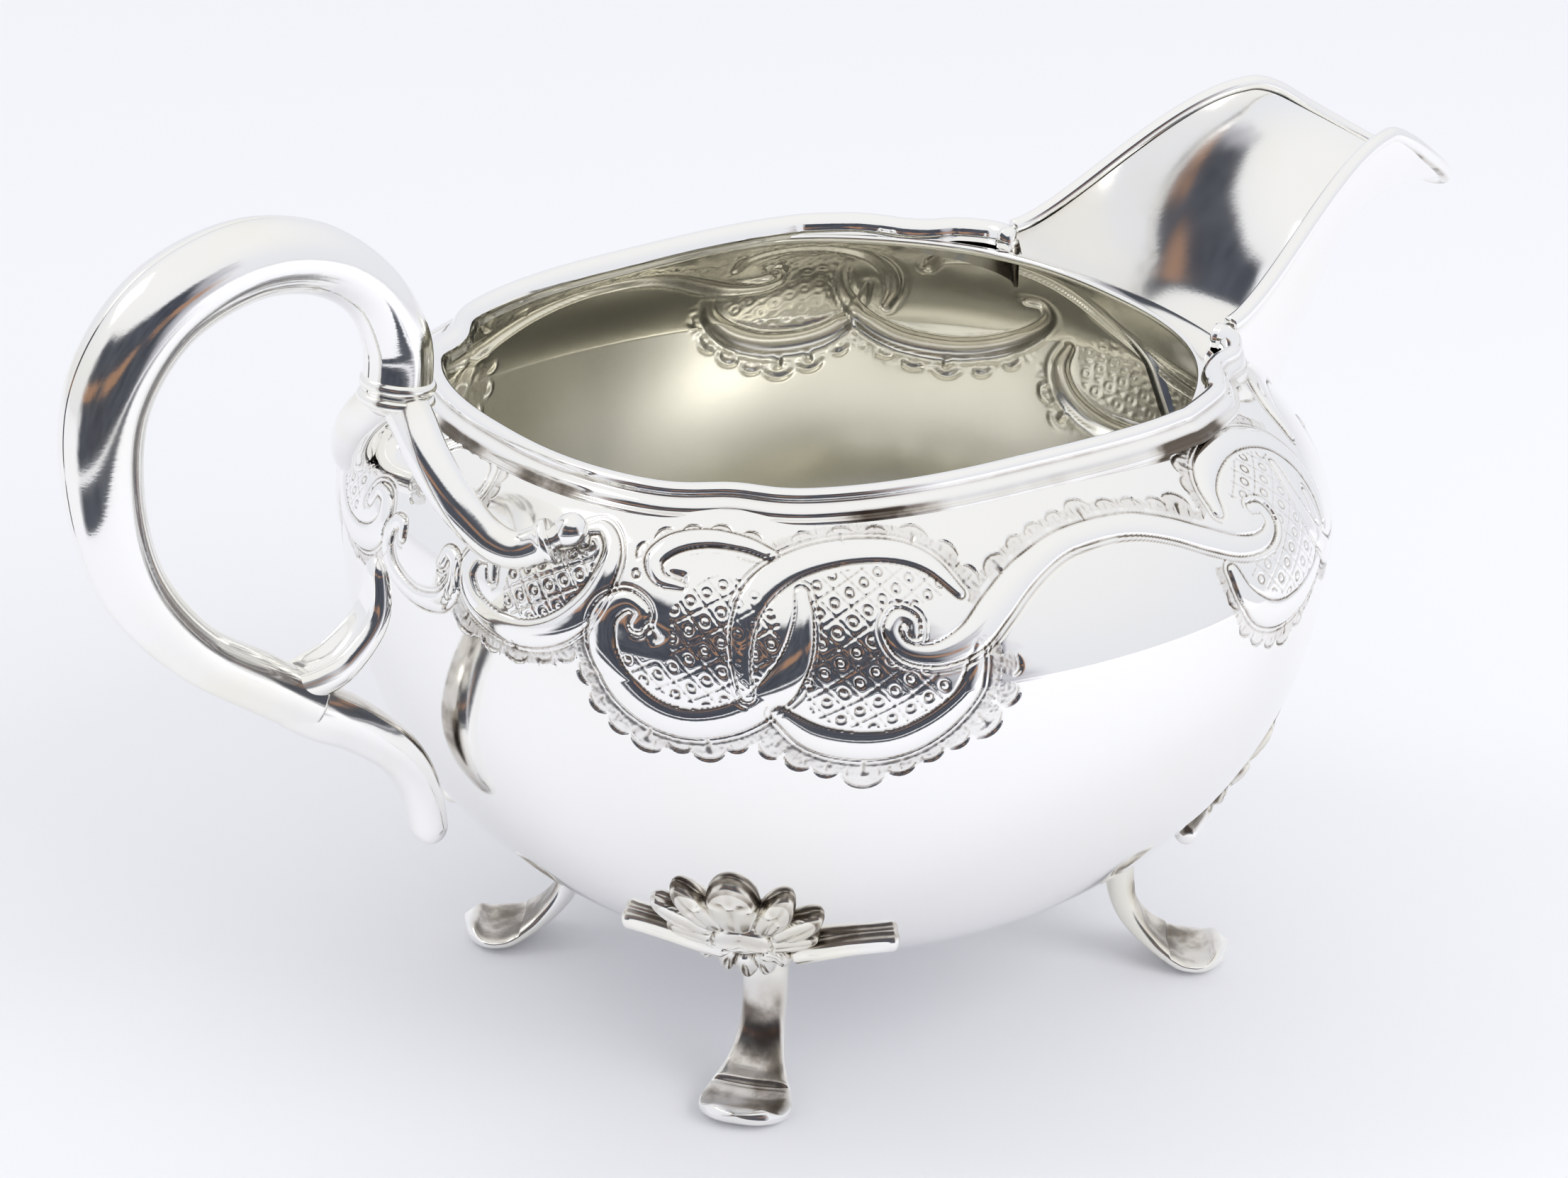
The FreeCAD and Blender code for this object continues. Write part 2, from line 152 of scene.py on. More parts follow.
def wall_profile():
    """Heights and distances down the wall from the mouth to the flat base."""
    turn = np.linspace(0, math.pi / 2, 3000)
    upper = BELLY_Z + (BOWL_TOP - BELLY_Z) * np.cos(turn) ** (2 / UPPER_FULLNESS)
    lower = BELLY_Z - DROP * np.sin(turn) ** (2 / LOWER_FULLNESS)
    heights = np.concatenate([upper, lower[lower > BOWL_LOW[2]], BOWL_LOW[2:3]])
    radii = girth_at(heights) * BELLY_HALF_LENGTH
    run = np.concatenate([[0], np.cumsum(np.hypot(np.diff(heights), np.diff(radii)))])
    at_belly = np.interp(-BELLY_Z, -heights, run)
    return heights, run - at_belly + BELLY_DOWN


HEIGHTS, DOWNS = wall_profile()


def height_at(down):
    """Height of the wall at a distance down it."""
    return np.interp(down, DOWNS, HEIGHTS)


def unit(vectors):
    """Vectors made one long."""
    return vectors / np.linalg.norm(vectors, axis=-1, keepdims=True)


def sheet_normals(sheet):
    """Unit normals of a sheet of points (row, column, xyz) whose columns run right round."""
    wrapped = np.concatenate([sheet[:, -1:], sheet, sheet[:, :1]], 1)
    around = np.gradient(wrapped, axis=1)[:, 1:-1]
    return unit(np.cross(np.gradient(sheet, axis=0), around))


def wall_beside(points):
    """The bowl's centre at each point's height, and the place on the wall in the point's direction."""
    x, y, z = points[..., 0], points[..., 1], points[..., 2]
    centre, half_width, _ = plan(0.0, z)
    angle = np.arctan2(y / half_width, (x - centre) / BELLY_HALF_LENGTH)
    return centre, bowl_surface(angle, z)


def keep_outside(points, depth=0.5):
    """Moves points that are deeper than depth inside the bowl's outer surface out to that depth."""
    y, z = points[..., 1], points[..., 2]
    centre, surface = wall_beside(points)
    middle = np.stack([centre, 0 * y, z], -1)
    reach = np.linalg.norm(surface - middle, axis=-1) - depth
    distance = np.linalg.norm(points - middle, axis=-1)
    inside = (distance < reach) & (z > BOWL_LOW[2]) & (z < BOWL_TOP)
    grow = np.where(inside, reach / np.maximum(distance, 1e-6), 1.0)
    return middle + (points - middle) * grow[..., None]


# --- curves and meshes -----------------------------------------------------------------
def smooth(rows, count):
    """Evenly spaced rows on a smooth curve through the given rows (place, then any sizes)."""
    rows = np.asarray(rows, float)
    ends = np.vstack([2 * rows[0] - rows[1], rows, 2 * rows[-1] - rows[-2]])
    place = np.linspace(0, len(rows) - 1, 16 * len(rows))
    first = np.minimum(place.astype(int), len(rows) - 2)
    t = (place - first)[:, None]
    a, b, c, d = (ends[first + k] for k in range(4))
    cubic = (3 * b - a - 3 * c + d) * t ** 3
    curve = 0.5 * (2 * b + (c - a) * t + (2 * a - 5 * b + 4 * c - d) * t ** 2 + cubic)
    dimensions = min(rows.shape[1], 3)
    run = run_along(curve[:, :dimensions])
    wanted = np.linspace(0, run[-1], count)
    return np.stack([np.interp(wanted, run, column) for column in curve.T], -1)


def run_along(points):
    """Distance along a line of points."""
    steps = np.linalg.norm(np.diff(points, axis=0), axis=1)
    return np.concatenate([[0], np.cumsum(steps)])


def strip_quads(rings, around, closed=True):
    """Quads between neighbouring rings of points, each ring around points long."""
    step = np.arange(around if closed else around - 1)
    following = (step + 1) % around
    ring = np.arange(rings - 1)[:, None] * around
    quads = [ring + step, ring + following, ring + around + following, ring + around + step]
    return np.stack(quads, -1).reshape(-1, 4)


def fan(ring, middle, flipped=False):
    """Triangles from a ring of point numbers to one middle point."""
    following = np.roll(ring, -1)
    ends = (following, ring) if flipped else (ring, following)
    return np.stack([*ends, np.full(len(ring), middle)], -1)


def halving(outer, inner):
    """Triangles that join a ring of point numbers to one with half as many points."""
    even, odd = outer[0::2], outer[1::2]
    beyond, following = np.roll(even, -1), np.roll(inner, -1)
    return np.vstack([
        np.stack([even, odd, inner], -1),
        np.stack([odd, following, inner], -1),
        np.stack([odd, beyond, following], -1),
    ])


def volume_of(points, quads, triangles):
    """Signed volume of a closed mesh, to tell which way its faces look."""
    corners_of = np.vstack([quads[:, [0, 1, 2]], quads[:, [0, 2, 3]], triangles])
    a, b, c = (points[corners_of[:, k]] for k in range(3))
    return np.einsum("ij,ij->i", a, np.cross(b, c)).sum()


def add_object(name, data):
    """Puts a new object into the scene."""
    added = bpy.data.objects.new(name, data)
    bpy.context.scene.collection.objects.link(added)
    return added


def make_mesh(name, points, quads, triangles=None, tarnish_and_shade=None, matte=None, inside=None):
    """A closed, smooth piece.  The last three run from 0 to 1 at each point: darkening from tarnish and
    painted shade, matte, inside.
    """
    points = np.asarray(points, float)
    triangles = np.zeros((0, 3), int) if triangles is None else triangles
    if volume_of(points, quads, triangles) < 0:
        quads, triangles = quads[:, ::-1], triangles[:, ::-1]
    order = np.concatenate([quads.ravel(), triangles.ravel()]).astype(np.int32)
    sizes = np.concatenate([np.full(len(quads), 4), np.full(len(triangles), 3)])
    starts = np.concatenate([[0], np.cumsum(sizes)[:-1]]).astype(np.int32)
    mesh = bpy.data.meshes.new(name)
    mesh.vertices.add(len(points))
    mesh.vertices.foreach_set("co", (points * MM).astype(np.float32).ravel())
    mesh.loops.add(len(order))
    mesh.loops.foreach_set("vertex_index", order)
    mesh.polygons.add(len(sizes))
    mesh.polygons.foreach_set("loop_start", starts)
    mesh.update(calc_edges=True)
    mesh.validate()
    mesh.shade_smooth()
    # The first layer darkens the silver: tarnish in hollows, and painted shade on some pieces' tops,
    # undersides and edges.
    for per_point_name, values in (("tarnish_and_shade", tarnish_and_shade), ("matte", matte), ("inside", inside)):
        if values is not None:
            layer = mesh.attributes.new(per_point_name, "FLOAT", "POINT")
            layer.data.foreach_set("value", np.asarray(values, np.float32).ravel())
    return add_object(name, mesh)


def loft(name, rings, tarnish_and_shade=None):
    """A closed piece through rings of points (ring, point, xyz), each end closed by a fan."""
    count, around = rings.shape[:2]
    points = np.vstack([rings.reshape(-1, 3), rings[0].mean(0), rings[-1].mean(0)])
    first, last = np.arange(around), np.arange(around) + (count - 1) * around
    triangles = np.vstack([fan(first, count * around, True), fan(last, count * around + 1)])
    if tarnish_and_shade is not None:
        tarnish_and_shade = np.concatenate([tarnish_and_shade.ravel(), [0, 0]])
    return make_mesh(name, points, strip_quads(count, around), triangles, tarnish_and_shade)


def angle_from(turn, middle):
    """Angles measured from a middle one, between minus and plus half a turn."""
    return (turn - middle + math.pi) % (2 * math.pi) - math.pi


def round_outline(turn, reach):
    """An outline as (across, out) pairs, from its reach at each angle."""
    return np.stack([np.cos(turn) * reach, np.sin(turn) * reach], -1)


def oval(around, power=2.0):
    """A unit outline as (across, out) pairs: 2 is a circle, more is squarer."""
    turn = np.linspace(0, 2 * math.pi, around, endpoint=False)
    return round_outline(turn, squared_reach(turn, power))


def sweep(spine, outline, side, count, start_round=0.0, end_round=0.0):
    """Rings along a spine of rows x, y, z, half width, half thickness.

    outline is one unit outline, or a function from the share of the length to one.  The two roundings
    are the lengths over which the ends close up into domes.
    """
    line = smooth(spine, count)
    run = run_along(line[:, :3])
    if end_round or start_round:
        share = np.linspace(0, 1, count)
        eased = np.where(share > 0.5, 1 - 2 * (1 - share) ** 2, 2 * share ** 2)
        wanted = eased * run[-1]
        line = np.stack([np.interp(wanted, run, column) for column in line.T], -1)
        run = wanted
    tangent = unit(np.gradient(line[:, :3], axis=0))
    across = unit(side - tangent * (tangent @ side)[:, None])
    out = np.cross(tangent, across)
    size = np.ones(count)
    if start_round:
        size *= np.sqrt(np.clip(1 - np.clip(1 - run / start_round, 0, 1) ** 2, 0.0004, 1))
    if end_round:
        size *= np.sqrt(np.clip(1 - np.clip(1 - (run[-1] - run) / end_round, 0, 1) ** 2, 0.0004, 1))
    rings = []
    for k in range(count):
        shape = outline(run[k] / run[-1]) if callable(outline) else outline
        flat = across[k] * (shape[:, :1] * line[k, 3]) + out[k] * (shape[:, 1:] * line[k, 4])
        rings.append(line[k, :3] + flat * size[k])
    return np.array(rings)


def lathe(axis_start, axis, profile, around=96):
    """Rings of a turned shape: profile rows are distance along the axis and radius."""
    axis = unit(np.asarray(axis, float))
    across = unit(np.cross(axis, SIDEWAYS if abs(axis[1]) < 0.9 else UP))
    other = np.cross(axis, across)
    circle = oval(around)
    flat = circle[:, :1] * across + circle[:, 1:] * other
    return np.array([axis_start + axis * along + flat * radius for along, radius in profile])


def bead(z_from, z_to, radius, swell, steps=10):
    """Profile rows of a half-round bead that swells out from a radius."""
    turn = np.linspace(0, math.pi, steps)
    return [(z_from + (z_to - z_from) * (1 - math.cos(t)) / 2, radius + swell * math.sin(t)) for t in turn]


# --- chasing on the bowl ---------------------------------------------------------------
def groove(distance, width):
    """1 in the middle of a cut, fading to 0."""
    return np.exp(-(distance / width) ** 2)


class Relief:
    """Height and finish of the chased band on one side of the bowl.

    A place on the band is (along, down): along runs from the handle (-91) by the middle of the side (0)
    to the spout (91), and down follows the wall from the mouth.  The belly is 25 down.
    """

    LINE_DEPTH = 0.13
    LINE_WIDTH = 0.15
    LOBE_SIZE = 1.3

    def __init__(self, along, down):
        self.along, self.down = np.meshgrid(along, down)
        self.height = np.zeros(self.along.shape)
        self.matte = np.zeros(self.along.shape)

    def window(self, places, margin):
        """The part of the band round some places."""
        low, high = np.min(places, 0)[:2] - margin, np.max(places, 0)[:2] + margin
        columns = slice(*np.searchsorted(self.along[0], (low[0], high[0])))
        rows = slice(*np.searchsorted(self.down[:, 0], (low[1], high[1])))
        return rows, columns

    def offset(self, line, area):
        """Distance to the right of a line, as one looks along it, and the share of its length."""
        along, down = self.along[area], self.down[area]
        nearest = np.full(along.shape, 1e9)
        signed, share = np.zeros(along.shape), np.zeros(along.shape)
        run = run_along(line)
        for k in range(len(line) - 1):
            step = line[k + 1] - line[k]
            da, dd = along - line[k, 0], down - line[k, 1]
            t = np.clip((da * step[0] + dd * step[1]) / (step @ step), 0, 1)
            distance = np.hypot(da - t * step[0], dd - t * step[1])
            closer = distance < nearest
            turned = np.where(step[0] * dd - step[1] * da < 0, -distance, distance)
            nearest = np.where(closer, distance, nearest)
            signed = np.where(closer, turned, signed)
            share = np.where(closer, (run[k] + t * (run[k + 1] - run[k])) / run[-1], share)
        return signed, share

    def scroll(self, spine, outer=1, rise=0.48, lines=2):
        """A raised rounded band along rows of along, down, half width, cut round with lines."""
        curve = smooth(spine, 9 * len(spine))
        area = self.window(curve, 4.0)
        signed, share = self.offset(curve[:, :2], area)
        half = np.interp(share, np.linspace(0, 1, len(curve)), curve[:, 2])
        across = signed / half
        body = np.clip(1 - across ** 2, 0, 1) ** 0.7
        on_band = np.abs(across) < 1
        under = self.height[area]
        height = np.where(on_band, 0.35 * under + rise * body * np.sqrt(half / curve[:, 2].max()), under)
        for gap in (0.0, 0.55)[:lines]:
            height -= self.LINE_DEPTH * groove(signed * outer - half - gap - 0.05, self.LINE_WIDTH)
        height -= self.LINE_DEPTH * groove(signed * outer + half + 0.05, self.LINE_WIDTH)
        self.height[area] = height
        self.matte[area] *= np.clip(np.abs(signed) - half, 0, 0.6) / 0.6

    def frill(self, spine, outer, lobes, reach=1.9):
        """A stippled frill beyond a scroll.  lobes are the outermost place and radius of each round lobe."""
        curve = smooth(spine, 9 * len(spine))
        lobes = np.array(lobes, float)
        area = self.window(np.vstack([curve[:, :2], lobes[:, :2]]), 3.0)
        signed, share = self.offset(curve[:, :2], area)
        half = np.interp(share, np.linspace(0, 1, len(curve)), curve[:, 2])
        beyond = signed * outer - half
        near = np.zeros(signed.shape)
        for place in lobes:
            near = np.maximum(near, np.hypot(self.along[area] - place[0], self.down[area] - place[1]) < 4.2)
        strip = near * (beyond > 0.75) * (beyond < reach)
        self.matte[area] = np.maximum(self.matte[area], strip)
        length = run_along(curve[:, :2])[-1]
        spokes = np.abs((share * length / 0.95) % 1 - 0.5) * 0.95
        uneven = 0.6 + 0.4 * np.sin(share * length * 2.9)
        self.height[area] -= 0.13 * near * uneven * groove(spokes, 0.11) * groove(beyond - 1.5, 0.55)
        for along, down, radius in lobes:
            self.lobe(curve, along, down, radius * self.LOBE_SIZE)

    def lobe(self, curve, along, down, radius):
        """One round lobe, edged with a crescent cut and marked with a drop if it is a big one."""
        nearest = curve[np.argmin(np.hypot(curve[:, 0] - along, curve[:, 1] - down)), :2]
        out = unit(np.array([along, down]) - nearest)
        centre = np.array([along, down]) - out * radius
        area = self.window([centre], radius + 1.0)
        da, dd = self.along[area] - centre[0], self.down[area] - centre[1]
        distance = np.hypot(da, dd)
        facing = (da * out[0] + dd * out[1]) / np.maximum(distance, 1e-6)
        crescent = np.clip(facing * 1.6 - 0.6, 0, 1)
        self.matte[area] = np.maximum(self.matte[area], 0.8 * (distance < radius * 0.95))
        self.height[area] += 0.03 * np.clip(1 - (distance / radius) ** 2, 0, 1)
        cut = np.exp(-((distance - radius + 0.12 * crescent) / (0.06 + 0.12 * crescent)) ** 2)
        self.height[area] -= 0.26 * np.sqrt(crescent) * cut
        if radius > 1.9:
            self.drop(centre, out, 0.8, 0.24)

    def drop(self, centre, direction, length, width, depth=0.26):
        """A pointed drop punched into the metal."""
        area = self.window([centre], length * 2.5)
        da, dd = self.along[area] - centre[0], self.down[area] - centre[1]
        lengthwise = (da * direction[0] + dd * direction[1]) / length
        widened = width * (1.15 + 0.55 * np.clip(lengthwise, -1, 1))
        across = (dd * direction[0] - da * direction[1]) / widened
        self.height[area] -= depth * np.exp(-lengthwise ** 4 - across ** 2)

    def rings(self, distance):
        """Height of a ring punch at a distance from its middle."""
        return 0.06 * groove(distance, 0.3) - 0.15 * groove(distance - 0.5, 0.14)

    def ring(self, along, down):
        area = self.window([(along, down)], 1.2)
        distance = np.hypot(self.along[area] - along, self.down[area] - down)
        self.height[area] += self.rings(distance)

    def diaper(self, outline):
        """Crossed dashed lines with a ring punch in each space, inside a closed outline."""
        outline = smooth(np.vstack([outline, outline[:1]]), 80)
        area = self.window(outline, 0.0)
        along, down = self.along[area], self.down[area]
        inside = np.zeros(along.shape, bool)
        for (a0, d0), (a1, d1) in zip(outline, np.roll(outline, -1, axis=0)):
            crosses = (d0 > down) != (d1 > down)
            inside ^= crosses & (along < a0 + (down - d0) * (a1 - a0) / ((d1 - d0) or 1e-9))
        first, second = np.array([1.95, -1.1]), np.array([1.55, 2.15])
        start = np.array([-31.8, 16.7])
        i, j = np.linalg.solve(np.stack([first, second], 1),
                               np.stack([(along - start[0]).ravel(), (down - start[1]).ravel()]))
        i, j = i.reshape(along.shape), j.reshape(along.shape)
        di, dj = i - np.round(i), j - np.round(j)
        distance = np.hypot(di * first[0] + dj * second[0], di * first[1] + dj * second[1])
        height = self.rings(distance)
        area_of_cell = abs(first[0] * second[1] - first[1] * second[0])
        for place, other, step in ((i, j, second), (j, i, first)):
            spacing = area_of_cell / np.linalg.norm(step)
            to_line = (np.abs(place - np.floor(place) - 0.5)) * spacing
            dashes = 0.8 + 0.2 * np.sin(other * np.linalg.norm(step) * 2 * math.pi / 0.9)
            height -= 0.10 * dashes * groove(to_line, 0.13)
        self.height[area] += np.where(inside, height, 0)

    def swell(self, along, down, half_length, half_height, rise):
        """Raises a soft oval dome."""
        reach = ((self.along - along) / half_length) ** 2 + ((self.down - down) / half_height) ** 2
        self.height += rise * np.clip(1 - reach, 0, 1) ** 2

    def stipple(self, grain):
        """Roughens the matte ground with punch marks."""
        self.height += self.matte * grain


LEFT_SCROLL = [
    (-56.4, 18.2, 0.9), (-55.6, 16.6, 1.1), (-57.6, 15.6, 1.2), (-60.2, 17.4, 1.5), (-61.0, 21.0, 1.8),
    (-59.6, 25.2, 1.9), (-56.0, 28.2, 1.9), (-51.5, 29.2, 1.9), (-46.5, 27.9, 1.9), (-42.0, 24.6, 1.8),
    (-38.8, 20.6, 1.6), (-37.2, 16.6, 1.2), (-36.8, 13.2, 0.8),
]
MIDDLE_ARCH = [
    (-45.0, 25.0, 0.8), (-44.8, 20.6, 1.2), (-43.7, 16.4, 1.5), (-41.5, 12.8, 1.7), (-38.0, 10.2, 1.7),
    (-33.5, 8.7, 1.7), (-28.5, 8.4, 1.6), (-24.0, 9.2, 1.5), (-20.8, 11.2, 1.2), (-18.6, 14.6, 0.7),
]
LOWER_CRESCENT = [
    (-41.6, 27.0, 0.9), (-38.0, 29.8, 1.6), (-33.5, 31.0, 1.8), (-29.0, 30.8, 1.8), (-25.0, 29.0, 1.7),
    (-21.8, 26.2, 1.4), (-19.8, 23.2, 1.0), (-18.4, 20.6, 0.6),
]
LONG_RIBBON = [
    (-25.4, 18.4, 0.7), (-25.2, 17.0, 0.8), (-26.6, 16.4, 0.9), (-27.8, 18.0, 1.0), (-26.8, 20.2, 1.2),
    (-23.4, 20.9, 1.3), (-19.0, 19.6, 1.6), (-15.0, 16.9, 1.7), (-11.0, 14.4, 1.6), (-7.0, 12.7, 1.4),
    (-3.0, 11.6, 1.3), (1.0, 11.3, 1.3), (5.0, 11.4, 1.3), (9.0, 12.1, 1.4), (13.0, 13.8, 1.4),
    (17.0, 16.2, 1.4), (21.0, 18.4, 1.3), (25.0, 19.2, 1.1), (27.8, 18.2, 1.0), (28.0, 16.2, 0.9),
    (26.4, 15.6, 0.8),
]
SMALL_LEAF = [
    (-50.8, 13.0, 0.6), (-53.6, 12.4, 0.9), (-54.4, 10.0, 1.2), (-51.8, 7.6, 1.3), (-47.6, 6.6, 1.2),
    (-43.0, 7.2, 1.0), (-39.6, 8.6, 0.7),
]
REAR_SCROLL = [
    (-77.0, 17.4, 0.8), (-77.8, 15.4, 1.0), (-80.4, 15.6, 1.3), (-81.6, 18.4, 1.6), (-79.6, 21.2, 1.7),
    (-75.6, 22.6, 1.7), (-71.0, 22.4, 1.7), (-66.4, 20.4, 1.7), (-62.6, 16.8, 1.6), (-60.6, 12.6, 1.4),
    (-60.4, 9.4, 1.2), (-62.2, 7.4, 1.0), (-64.6, 8.2, 0.8), (-64.4, 9.8, 0.6),
]
HANDLE_CURL = [
    (-86.8, 18.6, 0.7), (-86.0, 17.0, 0.9), (-84.2, 17.6, 1.1), (-83.8, 20.4, 1.2), (-85.6, 23.0, 1.2),
    (-88.6, 24.2, 1.1), (-91.4, 24.6, 1.0),
]
ROSETTE_TURNS = np.linspace(-0.3, 2.6, 9)
ROSETTE = [(-89 + 4.2 * math.sin(turn), 8 - 4.2 * math.cos(turn), 0.55) for turn in ROSETTE_TURNS]
ROSETTE_LOBES = [(-89 + 7 * math.sin(turn), 8 - 7 * math.cos(turn), 0.85) for turn in ROSETTE_TURNS]
FRONT_CRESCENT = [
    (18.2, 20.5, 0.8), (18.6, 23.5, 1.3), (21.0, 26.3, 1.6), (25.0, 28.0, 1.7), (29.5, 28.2, 1.7),
    (33.5, 27.2, 1.6), (36.5, 25.2, 1.4), (38.6, 22.2, 1.1), (39.6, 18.6, 0.7),
]
FRONT_ARCH = [
    (21.2, 14.2, 0.8), (22.6, 11.2, 1.3), (26.0, 9.0, 1.6), (31.0, 8.0, 1.7), (36.2, 8.8, 1.7),
    (40.4, 11.2, 1.6), (42.8, 15.2, 1.4), (43.0, 19.4, 1.1), (41.8, 22.6, 0.7),
]
SPOUT_RIBBON = [
    (37.0, 13.5, 0.7), (36.0, 17.0, 1.1), (36.4, 21.0, 1.4), (38.8, 24.8, 1.6), (43.0, 27.4, 1.6),
    (48.0, 28.4, 1.6), (53.0, 28.2, 1.5), (58.0, 26.8, 1.4), (62.0, 24.4, 1.2), (64.6, 21.4, 0.9),
    (64.2, 18.8, 0.8), (61.8, 18.6, 0.7),
]
SPOUT_SCROLL = [
    (67.4, 25.6, 0.8), (66.2, 29.0, 1.3), (68.2, 32.8, 1.6), (73.0, 35.2, 1.7), (79.0, 35.6, 1.7),
    (85.0, 34.2, 1.7), (91.4, 33.6, 1.7),
]
SPOUT_ARCH = [
    (48.2, 13.8, 0.8), (50.2, 10.8, 1.3), (55.0, 9.2, 1.6), (61.0, 9.6, 1.6), (67.0, 12.0, 1.6),
    (72.0, 16.0, 1.5), (76.0, 20.8, 1.3), (81.0, 24.6, 1.1), (86.0, 26.2, 0.9), (91.4, 26.8, 0.8),
]

LEFT_LOBES = [
    (-64.6, 25.6, 1.1), (-62.8, 29.2, 1.2), (-60.2, 31.6, 1.2), (-57.0, 33.4, 1.7), (-52.6, 33.0, 1.2),
    (-49.0, 33.7, 1.6), (-45.8, 32.2, 1.1),
]
LOWER_LOBES = [
    (-43.3, 32.4, 1.1), (-40.0, 34.0, 1.3), (-36.7, 35.0, 1.2), (-32.5, 36.6, 2.0), (-28.0, 35.0, 1.4),
    (-24.5, 33.4, 1.2), (-21.3, 31.9, 1.2), (-17.6, 30.6, 1.7), (-15.2, 27.0, 1.1), (-14.4, 23.6, 1.0),
]
ARCH_LOBES = [
    (-36.0, 5.4, 1.2), (-31.0, 4.9, 1.6), (-26.0, 5.2, 1.2), (-20.9, 5.9, 1.6), (-17.2, 9.0, 1.2),
    (-15.6, 12.4, 1.0),
]
RIBBON_LOBES = [
    (-13.6, 11.4, 1.6), (-9.4, 9.6, 1.2), (-5.9, 8.6, 1.2), (-1.8, 7.8, 1.2), (2.4, 7.0, 1.6),
    (6.6, 8.0, 1.2), (10.4, 8.8, 1.2), (14.0, 9.8, 1.1), (17.2, 10.2, 1.6),
]
LEAF_LOBES = [
    (-57.0, 9.0, 1.1), (-54.2, 6.0, 1.2), (-50.2, 4.9, 1.2), (-46.0, 4.5, 1.2), (-41.8, 5.4, 1.1),
]
REAR_LOBES = [
    (-84.6, 21.6, 1.2), (-82.4, 25.2, 1.6), (-77.6, 26.2, 1.3), (-73.4, 26.6, 1.6), (-69.0, 25.4, 1.2),
    (-65.6, 24.4, 1.3),
]
FRONT_LOBES = [
    (15.6, 23.6, 1.1), (17.4, 28.2, 1.2), (20.4, 30.6, 1.3), (23.8, 32.2, 1.2), (27.6, 33.2, 1.8),
    (32.0, 32.2, 1.5), (36.2, 29.8, 1.2),
]
FRONT_ARCH_LOBES = [
    (19.6, 9.6, 1.1), (21.6, 6.6, 1.5), (26.0, 5.0, 1.3), (31.0, 4.6, 1.2), (36.4, 5.0, 1.2),
    (41.4, 6.8, 1.2),
]
SPOUT_RIBBON_LOBES = [
    (41.4, 30.2, 1.2), (45.4, 31.8, 1.3), (50.0, 32.6, 1.7), (55.0, 31.8, 1.3), (59.4, 30.0, 1.2),
]
SPOUT_LOBES = [
    (63.6, 33.0, 1.2), (66.0, 37.0, 1.5), (71.0, 39.0, 1.3), (76.0, 39.8, 1.8), (81.4, 39.2, 1.3),
    (86.2, 37.6, 1.3), (91.4, 37.6, 1.6),
]

LEFT_FIELD = np.array([
    (-52.0, 16.0), (-47.0, 11.5), (-42.0, 13.0), (-40.0, 18.0), (-43.0, 23.0), (-49.0, 26.3),
    (-56.0, 25.0), (-58.4, 22.0), (-53.0, 21.5),
])
MIDDLE_FIELD = np.array([
    (-36.5, 12.2), (-30.0, 10.6), (-23.0, 11.4), (-20.6, 14.6), (-29.0, 16.4), (-29.4, 20.6),
    (-23.0, 23.6), (-26.0, 27.0), (-31.0, 28.7), (-37.0, 27.5), (-38.6, 24.0), (-35.6, 18.0),
])
FRONT_FIELD = np.array([
    (24.0, 13.4), (30.0, 10.4), (36.0, 11.4), (35.0, 16.0), (34.4, 22.0), (33.0, 25.2), (27.0, 26.0),
    (22.0, 23.6), (21.0, 21.0), (28.0, 20.6), (29.8, 16.0),
])
REAR_FIELD = np.array([
    (-74.0, 13.4), (-66.0, 11.4), (-62.4, 11.6), (-64.6, 16.4), (-69.0, 19.8), (-74.0, 20.2),
])
SPOUT_FIELD = np.array([
    (69.0, 25.0), (74.0, 23.0), (80.0, 27.0), (91.4, 29.0), (91.4, 31.4), (84.0, 31.8), (76.0, 33.0),
    (70.0, 30.6),
])


def chase(relief):
    """The whole ornament of one side: domed grounds first, then frills, fields and scrolls on top."""
    relief.swell(-49, 20, 15, 13, 0.9)
    relief.swell(-30, 20, 15, 14, 0.9)
    relief.swell(30, 18, 15, 14, 0.9)
    relief.swell(-72, 17, 13, 10, 0.6)
    relief.swell(84, 28, 20, 13, 0.7)
    relief.frill(LEFT_SCROLL[4:], 1, LEFT_LOBES)
    relief.frill(LOWER_CRESCENT, 1, LOWER_LOBES)
    relief.frill(MIDDLE_ARCH, -1, ARCH_LOBES)
    relief.frill(LONG_RIBBON[6:-3], -1, RIBBON_LOBES)
    relief.frill(SMALL_LEAF, 1, LEAF_LOBES)
    relief.frill(REAR_SCROLL[2:-4], 1, REAR_LOBES)
    relief.frill(ROSETTE, -1, ROSETTE_LOBES)
    relief.frill(FRONT_CRESCENT, 1, FRONT_LOBES)
    relief.frill(FRONT_ARCH, -1, FRONT_ARCH_LOBES)
    relief.frill(SPOUT_RIBBON[3:-3], 1, SPOUT_RIBBON_LOBES)
    relief.frill(SPOUT_SCROLL, 1, SPOUT_LOBES)
    for field in (LEFT_FIELD, MIDDLE_FIELD, FRONT_FIELD, REAR_FIELD, SPOUT_FIELD):
        relief.diaper(field)
    relief.scroll(SMALL_LEAF, 1, lines=1)
    relief.scroll(REAR_SCROLL)
    relief.scroll(HANDLE_CURL)
    relief.scroll(ROSETTE, -1, rise=0.15)
    relief.scroll(LEFT_SCROLL)
    relief.scroll(MIDDLE_ARCH, -1)
    relief.scroll(LOWER_CRESCENT)
    relief.scroll(LONG_RIBBON)
    relief.scroll(FRONT_CRESCENT)
    relief.scroll(FRONT_ARCH, -1)
    relief.scroll(SPOUT_RIBBON)
    relief.scroll(SPOUT_ARCH, -1)
    relief.scroll(SPOUT_SCROLL)
    relief.drop(np.array([-54.3, 18.8]), unit(np.array([0.6, 1.0])), 1.1, 0.6, 0.4)
    relief.drop(np.array([-51.2, 11.8]), unit(np.array([1.0, 0.3])), 1.1, 0.45, 0.35)
    relief.ring(-56.6, 12.3)


